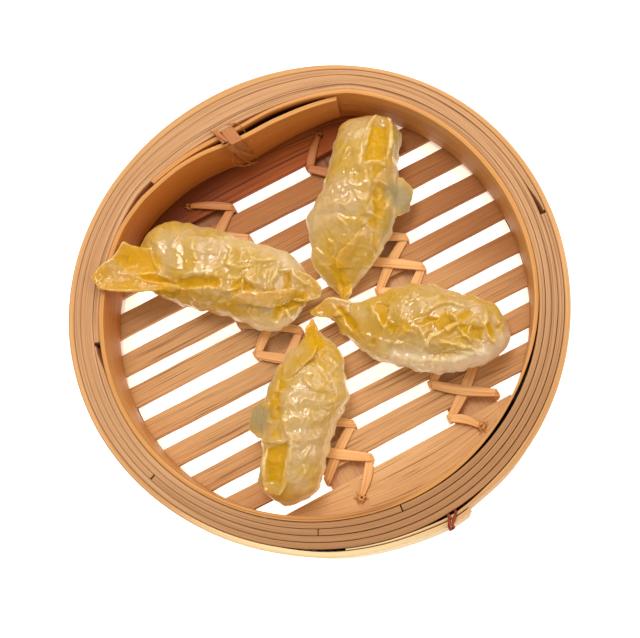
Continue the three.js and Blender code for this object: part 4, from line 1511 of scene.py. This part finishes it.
# %% [markdown]
# ## Shaping the four dumplings
# Each dumpling lists the rows of its body, its leaves and flaps, and the folds seen on it. All
# places are along the dumpling (s), across it (q, to the left) and up (z), in millimetres. A
# body has rows for its left edge, its right edge and its height. A ridge has a line, a height, a
# width and its steep side, a pocket a line, a depth, a width and a share of gold, a facet three
# corners and its gold, and a wash a line, a width and a strength. The nearest dumpling has the
# same form as the farthest, a little smaller and turned round, under a little more haze.

# %% The left dumpling
LEFT = dict(
    filling=Filling(
        [(15.5, 8), (18, 15), (23.5, 22.2), (33, 25), (53, 23), (67, 19), (80, 16.5), (88, 13),
         (94, 5)],
        [(18, 2), (23, -4), (31, -7), (43, -10), (62, -13.5), (77, -17), (86, -13.5), (94, -3)],
        [(18, 15), (26, 20), (38, 22.5), (55, 23), (70, 20.5), (84, 15.5), (94, 10)],
    ),
    leaves=[dict(start=(98, 0, 9.5), stop=(76, 3, 16), wide=13, dish=1.5, roll=-0.5)],
    flaps=[
        dict(upper=[(5.5, -4.9, 26), (8, 0, 26.6), (12.2, 3.6, 26.6), (15.9, 11, 26.4),
                    (20, 10, 24.6), (25, 10.5, 18)],
             lower=[(6.4, -6.9, 26.4), (9.4, -10, 26.4), (17.5, -10.4, 25.8), (26, -9.4, 24.6),
                    (34, -7.6, 22.6), (41, -6, 20)],
             sag=3.8),
        dict(upper=[(61, -9.4, 0.2), (64.7, -6.6, 1.5), (68, -4.8, 2), (75, -4.6, 2),
                    (81.3, -2.4, 2.2), (88, -0.6, 2)],
             lower=[(61, -10, 0.2), (65, -9.6, 1), (69, -9, 1.8), (74, -9.4, 2), (79, -9.4, 2),
                    (84, -7, 1.6)],
             sag=-0.6, on_skin=True),
    ],
    ridges=[
        ([(16, -2.2), (24.4, -1.1), (30.3, 0), (35.3, -1.5), (39, -3.2)], 1.1, 0.8, 0),
        ([(20.5, -2.6), (29, -4.5), (35, -5), (42.9, -4.6)], 1.2, 0.8, 0),
        ([(25.7, 12), (27.6, 6.4), (31.6, 2.3), (34, -0.6)], 1.2, 1.0, -1),
        ([(39.8, -1.3), (45, 0.2), (51.3, 0.9), (57, 0.2)], 1.5, 1.3, 1),
        ([(40.6, -5.6), (47.3, -4.4), (53.7, -3.9), (57.2, -4.6)], 1.7, 1.2, -1),
        ([(57.8, -1.6), (58.8, -4.3), (62.1, -4.8), (65.4, -3.7), (66.5, 0)], 1.4, 0.9, 0),
        ([(66, 3), (68.5, 0.6), (72.5, -1)], 1.0, 1.1, 1),
        ([(80.5, 10.2), (79.1, 5.4), (78, -2.1)], 1.3, 0.9, 0),
        ([(68.8, 8), (77, 9.8), (80.5, 10.4)], 0.9, 0.9, 1),
        ([(84.2, 6.6), (89.1, 4), (94, 2)], 1.0, 0.9, 0),
        ([(81.4, -14.5), (83.7, -9.5), (86.4, -11.1), (88, -14.2)], 1.3, 1.0, 0),
        ([(70.5, -10), (70.1, -12), (71.7, -14.4), (75, -15.5)], 0.9, 0.8, 0),
        ([(35.2, 9.5), (38, 17.2)], 0.8, 0.9, 0),
        ([(40, 16.6), (48, 16.9), (56.2, 15.4)], 0.8, 1.0, -1),
        ([(44, 10.5), (50, 9.4), (56, 10)], 0.8, 1.1, 1),
        ([(57, 15), (60.5, 12.5), (60, 9)], 1.0, 1.2, 1),
        ([(59, 6), (64, 5), (69, 6.4)], 0.7, 0.9, 0),
        ([(46, -7), (49, -8.6), (54, -8.4)], 0.8, 0.9, 0),
    ],
    pockets=[
        ([(20, 4.5), (27, 3.5)], 0.5, 5.2),
        ([(26, -2.7), (35, -3.3)], 1.6, 1.3),
        ([(42, -2.5), (48.1, -2.2), (55.7, -1.7)], 2.4, 2.0),
        ([(42, 3.5), (46.5, 4.6)], 0.1, 0.9, 0.5),
        ([(82.6, -8.6), (85.1, -6.8), (88.4, -4.6), (91, -3.4)], 1.3, 1.8),
        ([(80.7, -13), (81.8, -10)], 0.8, 1.2, 0.9),
    ],
    facets=[
        ((67, 0.5, -2), (73, -2.9, -0.6), (68, -4, -1.4), 1),
        ((62.1, -3.4, -0.4), (66.1, 1.3, -1.8), (66.8, -4.1, -1.6), 1),
        ((62.1, -3.4, -0.4), (66.8, -4.1, -1.6), (64.7, -7, -0.4), 0.9),
        ((82.4, 6, -0.4), (85.1, 7.3, -2), (86.2, -1.5, -1.8), 0.9),
        ((82.4, 6, -0.4), (86.2, -1.5, -1.8), (83.1, -1.7, -0.4), 0.8),
        ((85.6, 7.3, 1.4), (92.4, 2.5, 0.9), (86.4, -1.8, 0.3), 0.1),
        ((81.6, -7.6, -2.2), (91.3, -2, -1.4), (91, -5.4, -1), 1),
        ((81.6, -7.6, -2.2), (91, -5.4, -1), (85.6, -8.8, -0.8), 1),
        ((85, -8.7, 1.6), (80.9, -15.4, 0.8), (86.7, -12, 0.4), 0.15),
        ((84.1, -9.1, -1.2), (80.4, -14.8, -0.8), (81.6, -10.3, -0.2), 0.8),
        ((67, 0.8, 0.4), (76.3, 5.7, 0.5), (76.9, -2.7, 0.7), 0),
        ((12.1, 3.5, -0.2), (18.7, 6.2, -1.6), (18.3, 0.6, -0.4), 1),
        ((27, -0.7, -0.4), (38.9, -3.2, -1.2), (27.6, -3.5, -0.6), 0.9),
        ((32.2, -4.9, 0.2), (41.4, -6, -0.8), (34.3, -8.5, -0.8), 0.8),
        ((41.4, -6, 0.6), (47.5, -7.9, -0.6), (39.8, -10.3, -0.8), 0.6),
    ],
    sheer=[([(84, 14), (90, 9)], 3, 0.4)],
    amber=[
        ([(5, -5.6), (14.6, -7.6), (23, -7.8), (31.5, -7)], 6, 1),
        ([(34, -3.2), (45, -3.3), (56, -3.1), (66, -3.4), (75, -5.4), (84, -5.5),
          (90, -2.7)], 4, 0.6),
        ([(26, -6), (38, -8), (49, -9), (60, -10.5), (70, -12)], 5, 0.8),
    ],
    haze=[
        ([(36, 13), (47, 12), (57, 9)], 6, 0.15),
        ([(58, 17.1), (65, 16.6), (72, 15.5), (79, 13.7), (85, 10.5)], 4.5, 0.45),
        ([(68, -15), (79, -17), (88, -12)], 2.8, 0.45),
    ],
)
print("left:", len(LEFT["ridges"]), "ridges,", len(LEFT["facets"]), "facets")

# %% The far and the near dumpling
FAR = dict(
    filling=Filling(
        [(1, 0.8), (4, 7), (8, 12.5), (13, 16.5), (23, 18.5), (31, 21), (44, 17), (64, 15),
         (75, 13), (82, 5)],
        [(1, -0.8), (8, -4), (14, -8), (25, -12.5), (39, -15.5), (56, -14), (65, -12.5),
         (76, -12.5), (82, -4)],
        [(1, 6), (10, 12.5), (25, 19), (45, 22), (65, 20.5), (76, 16.5), (82, 11)],
    ),
    leaves=[
        dict(start=(54, -4, 19.5), stop=(78, -4.5, 16.5), wide=11.5, dish=1.4, roll=0.4, blunt=0.5),
    ],
    flaps=[
        dict(upper=[(30, -6.6, 0.2), (24.3, -2, 1.6), (20.3, 0.8, 2.2), (16.4, 4, 2.6),
                    (10.5, 4.8, 3)],
             lower=[(30, -8.4, 0.2), (25.5, -9, 1), (22, -9.4, 1.4), (18.5, -9.6, 2),
                    (15, -9.4, 3)],
             sag=-0.4, bow=0.6, on_skin=True),
        dict(upper=[(-1.6, 0.5, 6.4), (2.5, 3.2, 7.6), (7, 5, 7)],
             lower=[(-1.4, -0.7, 6.4), (2.5, -1.8, 7.6), (7, -2, 7)],
             sag=0.3, thick=1.6),
        dict(upper=[(56, -9, 10), (53.5, -15, 8), (50, -19.6, 5.5)],
             lower=[(35, -10, 10), (38, -15.5, 8), (42, -19.6, 5.5)],
             sag=-1.2, bow=1, thick=2.2),
    ],
    ridges=[
        ([(75, -1.5), (65.1, -0.6), (55.7, 0.6)], 1.2, 1.3, -1),
        ([(65, 1.4), (56.5, 1.8), (50.7, -1.6), (46.6, -3.2)], 0.9, 1.4, 0),
        ([(55.4, -0.5), (56.4, -4.8), (56.4, -7.7), (56.7, -11.7)], 0.9, 1.3, -1),
        ([(74, -8.6), (67, -9.8), (58, -10.4)], 0.7, 0.9, 0),
        ([(62.2, 6.6), (55.5, 9)], 0.8, 0.9, 0),
        ([(74, 5), (68, 8), (62, 9.6)], 0.6, 1.4, 0),
        ([(48, -3.6), (44, -4.6), (38, -4)], 0.9, 1.2, -1),
        ([(47.6, -7), (47.4, -11), (43, -13), (38.4, -12.6)], 0.8, 0.9, 0),
        ([(33.5, -1.5), (33.6, -6), (33.8, -11)], 0.9, 1.1, 1),
        ([(40, -6.6), (37, -10)], 0.6, 0.7, 0),
        ([(23, 12.8), (18.4, 15), (15, 10.7)], 0.6, 0.7, 0),
        ([(14.6, 6.4), (19.2, 6), (21.6, 9.7)], 0.5, 0.7, 0),
        ([(36, 10.4), (36.3, 3.3), (39, 2.6)], 0.8, 0.8, -1),
        ([(31, 13), (31.5, 7), (28, 2.4), (24.5, 1)], 0.8, 1.0, -1),
        ([(45, 10), (42, 8.4), (41, 5)], 0.5, 0.9, 0),
        ([(50, 4.6), (46, 4), (43, 0.6)], 0.6, 0.9, 0),
        ([(0.8, 0), (2.4, -1.6), (6.5, -3), (10, -3)], 1.2, 0.8, 0),
    ],
    pockets=[
        ([(46.3, -8.8), (45.4, -11.4), (39.4, -11)], 1.2, 1.4, 0.6),
        ([(41.8, -7.4), (35.2, -9.2)], 1.3, 1.5, 0.7),
        ([(4, 1.6), (10, 4)], 0.3, 3.4),
        ([(21, 10), (16.6, 9)], 0.05, 3.4, 0.4),
    ],
    facets=[
        ((73.3, -1.1, -0.2), (73, -6.9, -1.3), (59.4, -9, -1.3), 1),
        ((73.3, -1.1, -0.2), (59.4, -9, -1.3), (55.2, -0.5, -0.9), 1),
        ((54.6, -3, -0.3), (54.4, -9.6, -0.6), (48.6, -5.6, -0.9), 0.6),
        ((47, -5, -0.3), (45.4, -11.6, -0.5), (40.6, -7.6, -0.8), 0.6),
        ((39.4, -5.8, -0.3), (38, -11.6, -0.4), (33.8, -8.2, -0.7), 0.7),
        ((31.1, -4.4, -0.2), (33.5, -9.3, -1.2), (28, -9.2, -0.8), 1),
        ((27.6, -8.1, -0.8), (26.7, -10.9, -0.4), (16.7, -9.6, -0.6), 0.7),
        ((67.3, 8.8, 0.5), (70.7, 2.9, 0.3), (55.4, 2.9, 0.5), 0),
        ((12.9, 13.2, 0.3), (10.1, 5.9, 0.6), (4.2, 2.8, 0.2), 0.5),
    ],
    sheer=[
        ([(44, -20), (46, -16)], 6, 1),
        ([(78, -11), (64, -12.5)], 3, 0.5),
        ([(36, -15), (26, -12.5)], 2.6, 0.5),
    ],
    amber=[
        ([(1, 0), (9.3, -0.8), (14, 4), (18.8, -1.9), (23.4, -5.4)], 5, 0.6),
        ([(72, -4), (56, -6), (46, -8), (36, -9)], 5, 0.5),
    ],
    haze=[([(69, 18), (55, 18), (42, 19.6), (30, 19), (20, 15)], 5, 0.25)],
)
NEAR = dict(FAR, haze=[*FAR["haze"], ([(73, 5), (50, 6), (22, 6)], 9, 0.12)])
print("far and near:", len(FAR["ridges"]), "ridges,", len(FAR["facets"]), "facets")

# %% The right dumpling
RIGHT = dict(
    filling=Filling(
        [(4, 2.5), (9, 5), (15, 5.5), (24, 8.5), (36, 15.5), (48, 17.5), (58, 15.5), (69, 14),
         (77, 12), (82.5, 4)],
        [(4, 0), (10, -3), (15, -7.5), (28, -15), (41, -17), (50, -18.5), (60, -17), (70, -13),
         (78, -9), (82.5, -3)],
        [(4, 8), (12, 11), (25, 16.5), (45, 21.5), (62, 21), (76, 16), (82.5, 11)],
    ),
    leaves=[],
    flaps=[
        dict(upper=[(-0.4, -0.6, 8.4), (2.4, 2.2, 9.6), (5.7, 5.6, 10.6), (9, 6.3, 11.4),
                    (16, 5.6, 12.4)],
             lower=[(0.4, -1.7, 8.4), (3.5, -2.2, 9.4), (7, -2.2, 10.2), (11, -1.4, 11.4),
                    (16, 0, 12.4)],
             sag=1.0),
        dict(upper=[(60.4, 0.6, 0.8), (56.2, -3.4, 2.6), (51.6, -6.4, 3.2), (49.6, -8.9, 3),
                    (50.6, -12, 1.6)],
             lower=[(66, -5, 0.4), (64.5, -7.6, 1.2), (63, -9.6, 1.6), (60, -10.8, 1.6),
                    (56, -12.4, 1)],
             sag=-0.6, on_skin=True),
    ],
    ridges=[
        ([(8.6, 3), (13.6, -0.6), (17.4, -5)], 0.9, 1.0, -1),
        ([(11.4, 3.6), (17.4, 0), (21, -4.4)], 0.7, 1.0, 1),
        ([(24.3, 5), (29.5, -1), (31.8, -5)], 1.2, 0.9, -1),
        ([(32.6, 6.4), (33, 0.5), (31.6, -5)], 1.2, 0.9, 1),
        ([(29.6, -1.8), (32.2, -5), (34.7, -2.2)], 0.8, 0.8, 0),
        ([(37.5, 0.8), (40.1, -5), (38, -8)], 1.2, 1.0, 1),
        ([(40.1, -5), (44.3, -5.8)], 1.0, 0.8, 0),
        ([(44.6, 1.2), (49.8, 4.6), (54.5, 8.4), (60.6, 7.8), (68.3, 10)], 1.2, 1.4, 1),
        ([(46, -4), (48.4, -6.6), (49, -10)], 0.9, 0.9, 0),
        ([(59.7, 0), (63, -3.6), (66.5, -5.2)], 1.3, 0.9, 0),
        ([(50.6, -11.4), (49.7, -8.9), (51.5, -6.5), (56.2, -3.6), (60.4, 0.4)], 0.9, 0.9, 0),
        ([(62.8, -3), (65.3, 2), (67.6, 4.4)], 1.3, 0.9, -1),
        ([(71, 8), (70.9, 2), (73.1, -2), (77, -4.8)], 1.3, 0.9, 1),
        ([(75, 6.4), (76.4, 4.6), (78.4, 3.6)], 0.8, 0.8, 0),
        ([(54, -9.4), (60.7, -7.2), (68.8, -8.2), (75, -9)], 1.1, 1.0, 0),
        ([(31.2, -13.6), (38.4, -14.8), (47.9, -15.2), (57.7, -14.2), (67.2, -11.4)], 2.0, 1.2, 0),
        ([(55, -8.4), (58, -7.4), (62, -8.6), (66, -7.6), (70, -9)], 1.0, 0.6, 0),
        ([(57, -10), (61, -9.2), (65, -10.2), (69, -9.4), (74, -10.4)], 1.0, 0.6, 0),
        ([(34, -17), (37, -14.6)], 0.9, 0.8, 0),
        ([(44, -18), (45.4, -15)], 0.9, 0.8, 0),
        ([(53, -17.6), (53.4, -14.6)], 0.9, 0.8, 0),
        ([(62, -15.4), (61.4, -12.8)], 0.9, 0.8, 0),
        ([(37.3, 7.2), (40, 10.7), (44, 12)], 0.8, 0.9, -1),
        ([(46, 9), (52, 12), (58, 12.6)], 0.5, 1.2, 0),
        ([(26, -8), (33, -9.4), (41, -10), (47, -12)], 0.7, 1.0, -1),
        ([(56, 4.6), (59.6, 3), (60.6, 0.6)], 0.9, 0.8, 0),
    ],
    pockets=[
        ([(12, 1.8), (16, -1.6), (19.4, -5.2)], 1.5, 1.1),
        ([(72.4, 1.6), (74.4, -1)], 1.2, 1.4),
        ([(62, 4), (64, 6)], 1.0, 1.5),
    ],
    facets=[
        ((26.5, 5.3, -0.3), (32.7, 5, -1.9), (31.4, -4.7, -1), 1),
        ((32.5, -2.1, -1.8), (38, -4, -0.3), (35.4, -6.9, -0.7), 1),
        ((38.2, -1.2, -1.8), (44, -3.4, 1), (39.8, -5.6, -1.2), 0.75),
        ((45.6, -2.4, -0.6), (52.5, 1, -1.7), (48.7, 1.5, -1.6), 1),
        ((51.8, -0.8, 0.5), (54.8, 4.8, 0.2), (58.9, 1, -2), 0.95),
        ((51.8, -0.8, 0.5), (58.9, 1, -2), (54.2, -3.7, 0.2), 0.9),
        ((60.8, -0.2, -0.3), (65.3, 0.9, -2.2), (64.4, -3, -1), 1),
        ((66.7, 0.4, -2.2), (70.8, 1.1, -0.6), (71.1, -3.6, -1.8), 0.9),
        ((66.7, 0.4, -2.2), (71.1, -3.6, -1.8), (67, -4.7, 0.2), 0.7),
        ((75.9, 2.7, -1.7), (78, 6.7, -1.5), (77.8, 2, 0.3), 0.8),
        ((55.3, -11.9, -0.6), (59.1, -10.1, -1.8), (63.6, -11.2, -0.6), 1),
        ((24.6, -11.4, -0.1), (29.8, -8.4, -0.9), (28.5, -12, -0.7), 0.8),
        ((9.5, 3.2, 0.9), (13.5, 0.7, -1.3), (20, -6, -1.3), 0.8),
        ((60.6, 0.6, 2.2), (55.3, -3.5, 1.4), (58.3, -4.6, 0.6), 0),
        ((64.2, -2.8, 1.6), (61.1, -4.5, 0.6), (66.5, -5.4, 0.6), 0),
    ],
    sheer=[],
    amber=[
        ([(4, 0), (8, -0.6), (15, -3.5), (22, -7), (30, -5), (38, -3), (48, -1), (58, -0.6),
          (66, -0.4)], 5.5, 0.8),
        ([(30, 7.2), (36, 9.3), (44, 10), (52.4, 8.4)], 4.5, 0.5),
    ],
    haze=[
        ([(38, -14.6), (53.6, -16.6), (62, -15.4)], 3.8, 0.6),
        ([(61.6, -15.4), (71.1, -11.6), (78.6, -7), (82.1, 0.9)], 4.4, 0.95),
    ],
)
print("right:", len(RIGHT["ridges"]), "ridges,", len(RIGHT["facets"]), "facets")

# %% Make them
REST = FLOOR_TOP + 3 * LACE_GAP + 2 * LACE_THICK
SERVED = (  # node, form, tip, turn, size, seed
    ("dumpling_left", LEFT, (-79.1, 57.5), -33, 1, 4),
    ("dumpling_far", FAR, (11, -2.3), 54.2, 1, 9),
    ("dumpling_right", RIGHT, (-3.9, -0.6), -36.2, 1, 15),
    ("dumpling_near", NEAR, (-6.2, -5.2), -125, 0.92, 9),
)
for node, form, tip, turn, size, seed in SERVED:
    bm = bmesh.new()
    form["filling"].swell(bm)
    for sizes in form["leaves"]:
        add_leaf(bm, **sizes)
    for sizes in form["flaps"]:
        add_flap(bm, form["filling"], **sizes)
    mesh = melt(bm, node)
    mark_skin(mesh, *fold_skin(mesh, form, seed))
    spot = Matrix.Translation(AXIS + Vector((*tip, REST)))
    turned = Matrix.Rotation(math.radians(turn), 4, "Z")
    mesh.transform(Matrix.Scale(MM, 4) @ spot @ turned @ Matrix.Scale(size, 4))
    mesh.name = "dough_" + node
    hang(mesh, "dough_" + node, dough, "dough", node)
